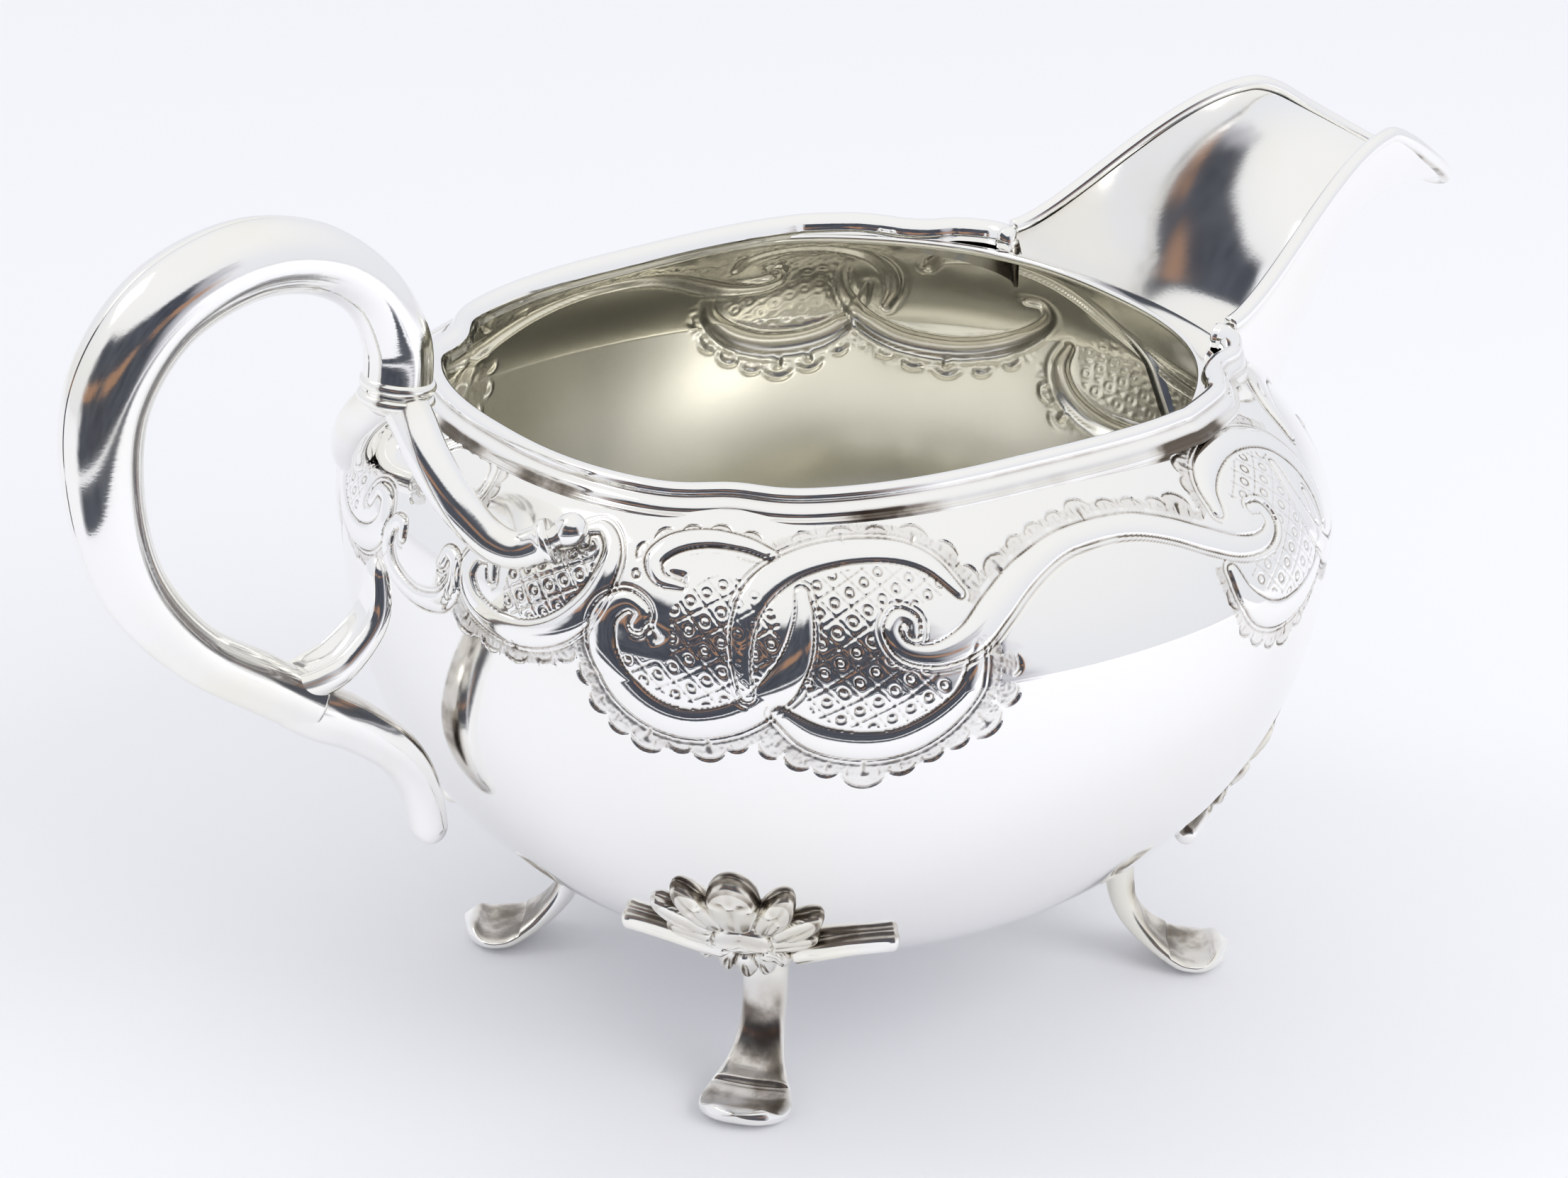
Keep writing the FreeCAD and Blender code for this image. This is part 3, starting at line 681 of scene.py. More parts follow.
def blurred(values, times):
    """Averages each value with its neighbours, again and again."""
    for _ in range(times):
        padded = np.pad(values, ((1, 1), (0, 0)), mode="edge")
        values = (padded[:-2] + 2 * values + padded[2:]) / 4
        values = (np.roll(values, 1, 1) + 2 * values + np.roll(values, -1, 1)) / 4
    return values


def band_maps(down):
    """Height, matte and tarnish over the whole band, the left side mirroring the right."""
    half = COLUMNS // 2
    along = (np.arange(half + 1) / half - 0.5) * BAND_RADIUS * math.pi
    relief = Relief(along, down)
    chase(relief)
    grain = blurred(random.normal(0, 1, relief.height.shape), 1) * GRAIN_HEIGHT
    relief.stipple(grain)
    fade = np.clip((BAND_END - down - 0.5) / 2, 0, 1)[:, None]

    def both_sides(values):
        values = values * fade
        return np.concatenate([values, values[:, -2:0:-1]], 1)

    height, matte = both_sides(relief.height), both_sides(relief.matte)
    hollow = blurred(height, 6) - height
    tarnish_and_shade = np.clip(hollow * 10, 0, 1) + 0.25 * matte
    return height, matte, np.clip(tarnish_and_shade, 0, 1)


def mouth_flare(angle, down):
    """How far the top of the wall leans out towards the spout's sides, as a sheet of offsets."""
    spread = 2.4 * np.exp(-((np.degrees(np.abs(angle)) - 64) / 15) ** 2)
    level = np.stack([np.cos(angle), np.sin(angle), 0 * angle], -1) * spread[:, None]
    return level * (np.clip(1 - down / 9.0, 0, 1) ** 2)[:, None, None]


def make_bowl():
    """The raised bowl: chased band outside, its soft reverse inside, and the plain lower walls."""
    down = np.arange(DOWNS[0], BAND_END, CELL)
    height, matte, tarnish_and_shade = band_maps(down)
    angle = -math.pi + np.arange(COLUMNS) * 2 * math.pi / COLUMNS
    z = height_at(down)[:, None]
    sheet = bowl_surface(angle[None, :], z)
    sheet = sheet + mouth_flare(angle, down)
    normals = sheet_normals(sheet)
    outside = sheet + normals * height[..., None]

    skip = SOFT_FACTOR
    soft = blurred(height, 2)[::skip, ::skip]
    depth = (soft * REVERSE_DEPTH - WALL)[..., None]
    inside = sheet[::skip, ::skip] + normals[::skip, ::skip] * depth

    low_down = np.arange(down[-1] + 0.4, DOWNS[-1], 0.45)
    low_angle = angle[::skip]
    low_sheet = bowl_surface(low_angle[None, :], height_at(np.append(low_down, DOWNS[-1]))[:, None])
    low_normals = sheet_normals(low_sheet)
    low_inside = low_sheet - low_normals * WALL

    blocks = [outside, low_sheet, inside, low_inside]
    starts = np.cumsum([0] + [block.shape[0] * block.shape[1] for block in blocks])
    points = np.vstack([block.reshape(-1, 3) for block in blocks])

    def ring(block, row):
        around = blocks[block].shape[1]
        row = row % blocks[block].shape[0]
        return starts[block] + row * around + np.arange(around)

    quads = []
    for block, start in zip(blocks, starts):
        faces = strip_quads(block.shape[0], block.shape[1]) + start
        quads.append(faces if start < starts[2] else faces[:, ::-1])
    seam = np.stack([ring(2, -1), np.roll(ring(2, -1), -1), np.roll(ring(3, 0), -1), ring(3, 0)], -1)
    quads.append(seam[:, ::-1])
    middles = np.array([low_sheet[-1].mean(0), low_inside[-1].mean(0)])
    triangles = np.vstack([
        halving(ring(0, -1), ring(1, 0)),
        halving(ring(0, 0), ring(2, 0))[:, ::-1],
        fan(ring(1, -1), len(points)),
        fan(ring(3, -1), len(points) + 1, True),
    ])
    points = np.vstack([points, middles])
    plain = np.zeros(low_sheet.shape[0] * low_sheet.shape[1])
    hollow = np.clip((soft - blurred(soft, 8)) * 3, 0, 0.6)
    inner = np.ones(soft.size)
    return make_mesh(
        "bowl_chased", points, np.vstack(quads), triangles,
        tarnish_and_shade=np.concatenate([tarnish_and_shade.ravel(), plain, hollow.ravel(), plain, [0, 0]]),
        matte=np.concatenate([matte.ravel(), plain, 0 * inner, plain, [0, 0]]),
        inside=np.concatenate([0 * matte.ravel(), plain, inner, plain + 1, [0, 1]]),
    )


# --- rim moulding ----------------------------------------------------------------------
CUSP_ANGLE = math.radians(135)
CUSP_SPREAD = math.radians(6)
CUSP_INSET = 1.6
FLARE_ANGLE = math.radians(52)
RIM_PROFILE = [             # out from the mouth's edge and above it, from the inside over the bead
    (-1.0, -0.4), (-0.95, 0.4), (-0.7, 1.2), (-0.25, 1.8), (0.35, 2.1), (1.0, 2.1), (1.45, 1.8), (1.62, 1.35),
    (1.55, 0.98), (1.6, 0.72), (1.9, 0.55), (2.35, 0.25), (2.65, -0.15), (2.78, -0.5), (2.95, -0.62),
    (3.2, -0.66), (3.38, -0.8), (3.42, -1.1), (3.25, -1.5), (2.2, -1.6), (1.0, -1.3), (-0.2, -0.9),
]
RIM_ENDS = [                # x from the low end of the spout's box, and y, of the bead's wavy end
    (-8.5, 36.3), (-6.0, 33.8), (-3.7, 30.6), (-1.2, 28.6),
    (2.0, 27.2), (4.6, 24.4), (5.6, 21.9), (5.2, 20.4),
]
BEAD_OUT = 0.75
SKIRT_DROP = 4.5


def flare_of(angle):
    """How far the mouth spreads beyond its oval on the way to the spout."""
    away = np.degrees(np.abs(angle)) - 51
    return 3.4 * np.exp(-(away / np.where(away > 0, 24, 10)) ** 2)


def mouth_point(angle, out):
    """Points outside the mouth's oval by out, with a small inward point on each side."""
    reach = squared_reach(angle, MOUTH_SQUARENESS)
    cusp = np.exp(-((np.abs(angle) - CUSP_ANGLE) / CUSP_SPREAD) ** 2)
    grow = out - CUSP_INSET * cusp
    x = MOUTH_CENTRE + (MOUTH_HALF_LENGTH + grow) * reach * np.cos(angle)
    y = (MOUTH_HALF_WIDTH + grow) * reach * np.sin(angle)
    return np.stack([x, y], -1)


def rim_path():
    """The line of the bead round the mouth, and its normal, from the left of the spout to the right."""
    low, _ = corners("spout")
    ends = np.array(RIM_ENDS) + [low[0], 0]
    angle = np.linspace(FLARE_ANGLE + 0.12, 2 * math.pi - FLARE_ANGLE - 0.12, 400)
    angle = np.where(angle > math.pi, angle - 2 * math.pi, angle)
    oval_part = mouth_point(angle, BEAD_OUT + flare_of(angle))
    corner_points = np.vstack([ends[::-1], oval_part[::4], ends * [1, -1]])
    line = smooth(corner_points, 1400)
    tangent = unit(np.gradient(line, axis=0))
    return line, np.stack([tangent[:, 1], -tangent[:, 0]], -1)


def make_rim():
    """A rounded bead with a hollow and a fine step below it, swept round the mouth."""
    line, outward = rim_path()
    run = run_along(line)
    from_end = np.minimum(run, run[-1] - run)
    low, _ = corners("rim_moulding")
    profile = smooth(RIM_PROFILE + RIM_PROFILE[:1], 97)[:-1]
    taper = np.clip(from_end / 16.0, 0.25, 1)
    drop = SKIRT_DROP * np.clip(1 - from_end / 18.0, 0, 1)
    rings = np.empty((len(line), len(profile), 3))
    for k, (out, above) in enumerate(profile):
        beyond = out - BEAD_OUT
        reach = np.where(beyond > 0.9, 0.9 + (beyond - 0.9) * taper, beyond)
        rings[:, k, :2] = line + outward * reach[:, None]
        rings[:, k, 2] = low[2] + above - drop * (above < -1.2 and out > 1.5)
    # The outer face below the bead is darkened, more in some places along the rim: painted shade under the
    # bead.
    below = np.clip(-(profile[:, 1] - 0.1) / 0.3, 0, 1) * (profile[:, 0] > 1.0)
    uneven_shade_under_bead = np.clip(np.sin(run * 0.09 + 1.0) * np.sin(run * 0.23 + 2.0) * 1.6 + 0.1, 0, 1)
    groove_line = 0.55 * groove(profile[:, 1] - 0.9, 0.2) * (profile[:, 0] > 1.0)
    return loft("rim_moulding_stepped", rings, (0.2 + uneven_shade_under_bead[:, None]) * below[None, :] + groove_line)


# --- spout -----------------------------------------------------------------------------
SPOUT_WALL = 1.2
SPOUT_ROUNDNESS = 1.25
WIRE_RADIUS = 1.0
LIP_FULLNESS = 0.012
SPOUT_EDGE = [(6.2, 21.8, 33.6), (14.7, 20.5, 34.6), (29.7, 15.5, 52.1), (40.9, 12.9, 49.2)]
SPOUT_KEEL = [(16.7, 0, -4.4), (34.2, 0, 8.6), (27.7, 0, 42.6), (58.7, 0, 36.8)]


def bezier(points, t):
    """Points on a cubic curve through two ends, pulled by two middle points."""
    t = np.asarray(t)[..., None]
    a, b, c, d = points
    return a * (1 - t) ** 3 + b * (3 * t * (1 - t) ** 2) + c * (3 * t * t * (1 - t)) + d * t ** 3


def spout_surface(t, across, inset):
    """Points of the spout's wall; across runs from -1 at the right edge by the keel to 1."""
    edge = bezier(from_corner("spout", SPOUT_EDGE), t)
    keel = bezier(from_corner("spout", SPOUT_KEEL), t)
    rise = edge - keel
    rise[..., 1] = 0
    depth = np.linalg.norm(rise, axis=-1) - inset
    turn = np.abs(across) * math.pi / 2
    side = np.sign(across) * np.sin(turn) ** SPOUT_ROUNDNESS * (edge[..., 1] - inset)
    height = inset + depth * (1 - np.cos(turn) ** SPOUT_ROUNDNESS)
    points = keel + unit(rise) * height[..., None]
    points[..., 1] += side
    return points


def depth_in_bowl(points):
    """How far points are inside the bowl's outer surface, measured level; negative outside."""
    x, y, z = points[..., 0], points[..., 1], points[..., 2]
    centre, surface = wall_beside(points)
    reach = np.hypot(surface[..., 0] - centre, surface[..., 1])
    depth = reach - np.hypot(x - centre, y)
    return np.where(z > BOWL_TOP, -1.0, depth)


def lip_reach(across):
    """How far along the spout its wall ends, a little farther between the middle and the edges."""
    return 1 + LIP_FULLNESS * np.sin(math.pi * np.abs(across))


def spout_sheet(across, inset, rows):
    """A sheet of the spout's wall that starts half way into the bowl's wall."""
    low, high = np.zeros(len(across)), np.full(len(across), 0.6)
    for _ in range(40):
        middle = (low + high) / 2
        deep = depth_in_bowl(spout_surface(middle, across, inset)) > WALL / 2
        low, high = np.where(deep, middle, low), np.where(deep, high, middle)
    start = np.where(high < 1e-6, 0.0, high)
    t = start + (lip_reach(across) - start) * np.linspace(0, 1, rows)[:, None]
    return spout_surface(t, np.broadcast_to(across, t.shape), inset)


def make_spout():
    """The open channel, a sheet of even thickness."""
    rows, around = 220, 241
    across = np.linspace(-1, 1, around)
    outer = spout_sheet(across, 0.0, rows)
    inner = spout_sheet(across, SPOUT_WALL, rows)[:, ::-1]
    rings = np.concatenate([outer, inner], 1)
    seam = 0.8 * np.exp(-((1 - np.abs(across)) / 0.03) ** 2)
    tarnish_and_shade = np.tile(np.concatenate([seam, seam]), (rows, 1))
    return loft_sheet("spout_channel", rings, tarnish_and_shade)


def loft_sheet(name, rings, tarnish_and_shade=None):
    """A closed piece through rings that double back on themselves, its ends closed by a strip of quads."""
    count, around = rings.shape[:2]
    half = around // 2
    step = np.arange(half - 1)
    end = np.stack([step, step + 1, around - 2 - step, around - 1 - step], -1)
    quads = np.vstack([strip_quads(count, around), end[:, ::-1], end + (count - 1) * around])
    return make_mesh(name, rings.reshape(-1, 3), quads, tarnish_and_shade=tarnish_and_shade)


def make_edge_wire():
    """The round wire on the spout's edge, up one side, round the lip and back."""
    middle = SPOUT_WALL / 2
    climb = np.linspace(0.0, 1.0, 60)
    left = spout_surface(climb, np.ones(60), middle)
    across = np.linspace(1, -1, 50)[1:-1]
    lip = spout_surface(lip_reach(across), across, middle)
    right = left[::-1] * [1, -1, 1]
    places = np.vstack([left[:-1], lip, right[1:]])
    places = smooth(places[::4], 500)
    tangent = unit(np.gradient(places, axis=0))
    across_wire = unit(np.cross(tangent, UP))
    out = np.cross(tangent, across_wire)
    circle = oval(28) * WIRE_RADIUS
    rings = (places[:, None] + across_wire[:, None] * circle[None, :, :1]
             + out[:, None] * circle[None, :, 1:])
    # The side of the wire facing down is darkened: painted shade under the wire.
    facing_down = (places[:, None, 2] - rings[..., 2]) / WIRE_RADIUS
    return loft("spout_wire", rings, 0.85 * np.clip((facing_down - 0.55) / 0.25, 0, 1))


# --- handle ----------------------------------------------------------------------------
HANDLE_WALL = 0.8
HANDLE_SPINE = [            # x and z from the low corner of the handle's box, and the radius
    (41.7, 38.0, 4.0), (41.8, 44.5, 3.9), (38.4, 51.4, 3.6), (31.2, 56.4, 4.1), (21.8, 57.6, 4.7),
    (12.0, 53.8, 5.0), (5.7, 45.4, 4.9), (4.8, 34.2, 4.4), (7.6, 23.0, 3.9), (14.5, 13.6, 3.4),
    (23.3, 7.0, 3.5), (29.3, 2.8, 3.4),
]
SEAM_DEPTH = 0.12
COLLAR_HEIGHT = 3.3
COLLAR_WAIST = 3.75


def make_handle_half(side_name):
    """One stamped half of the hollow handle, rounded a little where it meets the other."""
    side = SIDES[side_name]
    spine = from_corner("handle_left_half", [(x, 0, z, r, r) for x, z, r in HANDLE_SPINE])
    count = 320
    line = smooth(spine, count)
    tangent = unit(np.gradient(line[:, :3], axis=0))
    out = np.cross(tangent, SIDEWAYS)
    turn = np.linspace(0, math.pi, 73)
    near_seam = np.minimum(turn, math.pi - turn)
    eased = SEAM_DEPTH * np.exp(-(near_seam / 0.07) ** 2)
    rings = []
    for k in range(count):
        outer_radius = line[k, 3] - eased
        inner_radius = np.full(len(turn), line[k, 3] - HANDLE_WALL)
        arc = []
        for radius, angles in ((outer_radius, turn), (inner_radius, turn[::-1])):
            arc.append(SIDEWAYS * (side * radius * np.sin(angles))[:, None]
                       + out[k] * (radius * np.cos(angles))[:, None])
        rings.append(line[k, :3] + np.vstack(arc))
    return loft_sheet(f"handle_half_{side_name}", np.array(rings))


def make_collar():
    """Two fine half-round beads where the fork leaves the handle."""
    low, high = corners("handle_collar")
    centre = (low + high) / 2
    half = COLLAR_HEIGHT / 2
    profile = [(-half - 1.0, COLLAR_WAIST - 1.2), (-half - 0.1, COLLAR_WAIST)]
    profile += bead(-half, -0.1, COLLAR_WAIST, 0.75, 14)
    profile += bead(0.1, half, COLLAR_WAIST, 0.65, 14)
    profile += [(half + 0.1, COLLAR_WAIST - 0.1), (half + 1.0, COLLAR_WAIST - 1.0)]
    tilt = math.radians(10)
    axis = np.array([math.sin(tilt), 0, math.cos(tilt)])
    return loft("collar_beads", lathe(centre, axis, profile))


PRONG_SPINE = [             # x and z from the low corner of the left prong's box, y, and the radius
    (2.9, 0.0, 15.6, 2.7), (2.5, 3.6, 13.6, 2.6), (2.3, 7.4, 10.4, 2.5), (3.2, 11.4, 6.4, 2.4),
    (5.3, 14.9, 2.8, 2.3), (7.5, 17.6, 1.9, 2.2), (10.1, 20.4, 3.5, 2.3),
]


def keeled(share):
    """A round outline with a faint rib along its lower side."""
    turn = np.linspace(0, 2 * math.pi, 72, endpoint=False)
    away = angle_from(turn, 1.5 * math.pi)
    rib = 0.03 * np.exp(-(away / 0.35) ** 4)
    cuff = 0.16 * np.exp(-((share - 0.985) / 0.02) ** 2)
    return round_outline(turn, 1 + rib + cuff)


def mirrored(rings, side):
    """The rings as they are for the left side, or mirrored for the right."""
    return rings * [1, side, 1]


def make_prong(side_name):
    """One branch of the fork, from the collar out to the bowl's shoulder."""
    spine = [(x, y, z, r, r) for x, y, z, r in PRONG_SPINE]
    rings = sweep(from_corner("fork_prong_left", spine), keeled, np.array([0.75, -0.4, 0.35]), 150)
    return loft(f"fork_branch_{side_name}", mirrored(keep_outside(rings), SIDES[side_name]))


def make_bud(side_name):
    """The pear-shaped bud that comes out of the fork's cuff and sits on the shoulder."""
    start = from_corner("fork_bud_left", [(1.2, 19.4, 1.2)])[0]
    end = from_corner("fork_bud_left", [(4.5, 23.4, 4.7)])[0]
    length = np.linalg.norm(end - start)
    shares = [(0.0, 1.1), (0.16, 1.3), (0.22, 1.45), (0.27, 1.25), (0.36, 1.3), (0.5, 1.65), (0.62, 1.88),
              (0.74, 1.9), (0.86, 1.65), (0.94, 1.15), (1.0, 0.25)]
    profile = smooth([(share * length, radius) for share, radius in shares], 40)
    rings = lathe(start, end - start, profile, 64)
    return loft(f"fork_bud_ball_{side_name}", mirrored(rings, SIDES[side_name]))


TAIL_SPINE = [              # x and z from the low corner of the tail's box, half width, half thickness
    (-2.6, 23.2, 2.7, 2.7), (0.6, 21.1, 3.15, 3.2), (3.6, 19.2, 3.45, 3.35), (7.7, 16.6, 3.45, 3.1),
    (13.0, 11.9, 3.35, 2.7), (16.2, 6.3, 3.0, 2.3), (17.8, -1.4, 2.4, 2.0),
]
SPUR_SPINE = [
    (-4.0, 2.2, 2.2, 1.4), (-0.8, 1.6, 2.9, 2.0), (2.6, 1.8, 3.3, 2.4), (6.2, 3.2, 3.2, 2.3),
    (10.3, 7.6, 2.7, 1.8), (11.1, 14.3, 1.4, 1.0),
]


def top_of(rings, start):
    """1 along the top of each ring, fading to 0 at a share of the ring's half height."""
    height = rings[..., 2] - rings[..., 2].mean(1, keepdims=True)
    height = height / np.maximum(height.max(1, keepdims=True), 0.01)
    return np.clip((height - start) / (1 - start) * 2, 0, 1)


def make_tail():
    """The handle's lower scroll, which flattens into a round tongue against the bowl."""
    spine = from_corner("handle_tail", [(x, 0, z, w, t) for x, z, w, t in TAIL_SPINE])
    rings = sweep(spine, oval(72, 2.3), SIDEWAYS, 130, end_round=2.6)
    # The top of the tongue is darkened: painted shade for the dark surroundings it reflects.
    return loft("handle_tongue", keep_outside(rings), 0.7 * top_of(rings, 0.7))


def channelled(share):
    """A leaf-like outline with rounded edges and a channel along its upper face."""
    outline = oval(96, 2.2)
    across, out = outline[:, 0], outline[:, 1]
    hollow = np.where(out > 0, 0.75 * np.clip(1 - (across / 0.72) ** 2, 0, 1) ** 1.2, 0)
    return np.stack([across, out * (1 - hollow * math.sin(math.pi * min(share + 0.08, 1)))], -1)


def make_spur():
    """The upturned leaf that leaves the handle above the tongue."""
    spine = from_corner("handle_spur", [(x, 0, z, w, t) for x, z, w, t in SPUR_SPINE])
    return loft("handle_leaf_spur", sweep(spine, channelled, SIDEWAYS, 130, end_round=2.2))


# --- feet ------------------------------------------------------------------------------
# direction in degrees and reach of the sole, both as in the CAD
FEET = {"front": (35.6, 48.0), "rear": (139.4, 43.4)}
LEG_PROFILE = [             # inset from the sole's middle, height, half width, half thickness
    (11.0, 20.4, 3.0, 2.3), (11.3, 13.0, 2.8, 1.9), (10.2, 8.0, 2.8, 1.7), (7.4, 4.3, 3.6, 1.45),
    (4.0, 1.9, 5.2, 1.3), (2.0, 1.35, 5.65, 1.2), (0.2, 1.3, 5.3, 1.2), (-1.2, 1.6, 4.3, 1.1),
    (-2.3, 2.1, 3.0, 1.0), (-3.0, 2.5, 1.4, 0.8),
]


def toe_outline(share):
    """A flat-bottomed outline whose top goes from round at the leg to dished and stepped at the toe."""
    outline = oval(72, 2.6)
    across, out = outline[:, 0], outline[:, 1]
    dish = 0.55 * np.clip((share - 0.35) / 0.3, 0, 1) * np.clip(1 - across ** 2, 0, 1)
    step = 0.5 * math.exp(-((share - 0.72) / 0.012) ** 2)
    panel = 0.3 * np.clip((share - 0.72) / 0.02, 0, 1) * np.clip((0.92 - share) / 0.03, 0, 1)
    roll = 0.5 * math.exp(-((share - 0.95) / 0.025) ** 2)
    top = np.where(out > 0, 1 - dish - step - panel + roll, 1.0)
    return np.stack([across, out * top], -1)


def outward_of(angle_deg):
    """Level direction at an angle from the spout's."""
    angle = math.radians(angle_deg)
    return np.array([math.cos(angle), math.sin(angle), 0.0])


def make_leg(place, side_name):
    """A spade-toed leg, flat where it stands on the table."""
    angle_deg, reach = FEET[place]
    outward = outward_of(angle_deg)
    centre = np.array([BELLY_CENTRE - 0.15, 0, 0])
    spine = [(*(centre + outward * (reach - inset) + UP * z), w, t) for inset, z, w, t in LEG_PROFILE]
    rings = sweep(np.array(spine), toe_outline, np.cross(UP, outward), 170, end_round=1.6)
    rings = keep_outside(rings)
    rings[..., 2] = np.maximum(rings[..., 2], 0)
    share = np.linspace(0, 1, 170)[:, None]
    # The middle of the toe's upper face is darkened: painted shade under the overhanging bowl.
    upper_face = np.clip(oval(72, 2.6)[:, 1] * 2 - 0.6, 0, 1)
    tarnish_and_shade = 0.85 * upper_face * np.clip((share - 0.3) * 8, 0, 1) * np.clip((0.9 - share) * 12, 0, 1)
    return loft(f"leg_cast_{place}_{side_name}", mirrored(rings, SIDES[side_name]), tarnish_and_shade)


HALF_PETALS = [             # middle across and up, half width, half length, lean in degrees, rise
    (0.0, 6.4, 3.0, 5.6, 0, 1.5), (4.3, 5.0, 1.9, 5.2, 20, 1.2), (6.6, 1.8, 1.8, 4.8, 38, 1.1),
    (5.9, -1.8, 1.7, 3.8, 66, 1.0), (3.6, -5.6, 1.7, 3.4, 130, 0.9), (2.6, -8.6, 1.5, 2.6, 165, 0.8),
    (0.0, -9.4, 1.8, 2.8, 180, 1.0), (0.0, -2.6, 3.8, 3.0, 0, 1.0),
]


def both_petals(half):
    """Every petal of the leaf, each one off the middle followed by its mirror image."""
    petals = []
    for across, up, half_width, half_length, lean, rise in half:
        petals.append((across, up, half_width, half_length, lean, rise))
        if across > 0:
            petals.append((-across, up, half_width, half_length, -lean, rise))
    return petals


LEAF_PETALS = both_petals(HALF_PETALS)


def petal_reach(across, up, petal):
    """0 at the middle of a petal and 1 at its edge."""
    middle_across, middle_up, half_width, half_length, lean, _ = petal
    turn = math.radians(lean)
    da, du = across - middle_across, up - middle_up
    sideways = (da * math.cos(turn) - du * math.sin(turn)) / half_width
    lengthwise = (da * math.sin(turn) + du * math.cos(turn)) / half_length
    return np.hypot(sideways, lengthwise), sideways


def leaf_height(across, up):
    """Rise of the cast palmette: overlapping petals, each with a vein, and a ribbed boss below."""
    height = np.zeros(np.shape(across))
    for petal in LEAF_PETALS:
        reach, sideways = petal_reach(across, up, petal)
        body = petal[5] * np.clip(1 - reach ** 3, 0, 1) ** 0.5
        vein = 0.32 * np.exp(-(sideways / 0.16) ** 2) * np.clip(1 - reach, 0, 1)
        edge = 0.25 * np.exp(-((reach - 1.0) / 0.07) ** 2)
        height = np.where(reach < 1.02, np.maximum(height * 0.75, body - vein), height) - edge
    arc = np.hypot(across, up - 3.4)
    turn = np.arctan2(across, up - 3.4)
    beads = np.cos(turn * 15) * np.exp(-((arc - 5.2) / 0.5) ** 2) * np.clip(np.cos(turn) * 2 - 0.4, 0, 1)
    bowed = 0.10 * across ** 2
    ridges = np.exp(-((up + 2.2 + bowed) / 0.5) ** 2) - np.exp(-((up + 3.4 + bowed) / 0.4) ** 2)
    flutes = np.cos(across * 2.4) * np.clip(-(up + 4.5) / 2, 0, 1)
    return height + 0.35 * beads + 0.4 * ridges * (np.abs(across) < 5) + 0.22 * flutes


def leaf_outline(turn):
    """How far the palmette reaches from its middle in each direction."""
    steps = np.linspace(0, 14, 300)[:, None]
    across, up = steps * np.sin(turn), steps * np.cos(turn)
    covered = np.zeros(across.shape, bool)
    for petal in LEAF_PETALS:
        covered |= petal_reach(across, up, petal)[0] < 1.0
    return np.max(np.where(covered, steps, 0), axis=0)


LEAF_MIDDLE_Z = 28.6
FOOT_TURN = 0.8             # how far the leaf stands from the leg's own line, towards the side
LEAF_LOW_Z = 16.0
LEAF_HANG_Z = 30.0
LEAF_BEND = 49.0            # turns a distance across the leaf into an angle round the bowl
LEG_FACE_INSET = 5.6        # from the sole's middle in to the front of the leg


def leaf_place(place, across, up, lift):
    """Points of the palmette: on the bowl above, and hanging in front of the leg below."""
    angle_deg, reach = FEET[place]
    angle = math.radians(angle_deg)
    leg_face = reach - LEG_FACE_INSET
    side_shift = math.copysign(FOOT_TURN, angle_deg - 90)
    heights = np.linspace(LEAF_LOW_Z - 6, BELLY_Z, 400)

    def radius_at(turned, z):
        """The bowl's own radius above, and below it a line that hangs down to the front of the leg."""
        on_bowl = bowl_surface(turned, np.maximum(z, LEAF_HANG_Z))
        level = np.hypot(on_bowl[..., 0] - BELLY_CENTRE, on_bowl[..., 1])
        return leg_face + (level - leg_face) * np.clip((z - LEAF_LOW_Z) / (LEAF_HANG_Z - LEAF_LOW_Z), 0, 1)

    radii = radius_at(np.full(400, angle), heights)
    run = run_along(np.stack([radii, heights], -1))
    run -= np.interp(LEAF_MIDDLE_Z, heights, run)

    def surface(a, u):
        z = np.interp(u, run, heights)
        turned = angle + (a - side_shift * np.clip((u + 10.0) / 10.0, 0, 1)) / LEAF_BEND
        radius = radius_at(turned, z)
        return np.stack([BELLY_CENTRE + radius * np.cos(turned), radius * np.sin(turned), z], -1)

    step = 0.05
    normal = np.cross(surface(across + step, up) - surface(across - step, up),
                      surface(across, up + step) - surface(across, up - step))
    return surface(across, up) + unit(normal) * lift[..., None]


def make_leaf(place, side_name):
    """The cast palmette over the top of a leg."""
    rings_out, around = 70, 360
    turn = np.linspace(0, 2 * math.pi, around, endpoint=False)
    outline = blurred(np.tile(leaf_outline(turn), (3, 1)), 1)[1]
    share = np.linspace(0.02, 1, rings_out)[:, None]
    across, up = share * outline * np.sin(turn), share * outline * np.cos(turn)
    lift = 0.55 + leaf_height(across, up)
    lift *= np.clip((1.02 - share) / 0.05, 0.35, 1) ** 0.5
    front = leaf_place(place, -across, up, lift)
    back = leaf_place(place, -across, up, -0.55 - 4.6 * np.clip(0.3 - up / 12, 0, 1))[::-1]
    rings = np.concatenate([front, back], 0)
    # Tarnish in the hollows and a faint tone all over, and a dark band round the outer edge: painted shadow
    # where the leaf meets the bowl.
    tarnish_and_shade = np.clip((blurred(lift, 4) - lift) * 5 + 0.3 + 0.5 * (share > 0.9), 0, 1)
    tarnish_and_shade = np.concatenate([tarnish_and_shade, 0 * tarnish_and_shade], 0)
    return loft(f"leaf_cast_{place}_{side_name}", mirrored(rings, SIDES[side_name]), tarnish_and_shade)


ARM_SPINE = [               # degrees from the leaf's middle, height, lift, radius
    (5.0, 24.0, 1.4, 1.1), (9.0, 25.8, 1.1, 1.4), (13.0, 26.7, 0.8, 1.5), (17.0, 27.0, 0.7, 1.5),
    (20.4, 27.1, 0.8, 1.45),
]
ARM_TURN = 3.9              # degrees that the arms stand from the leg's own line, towards the side


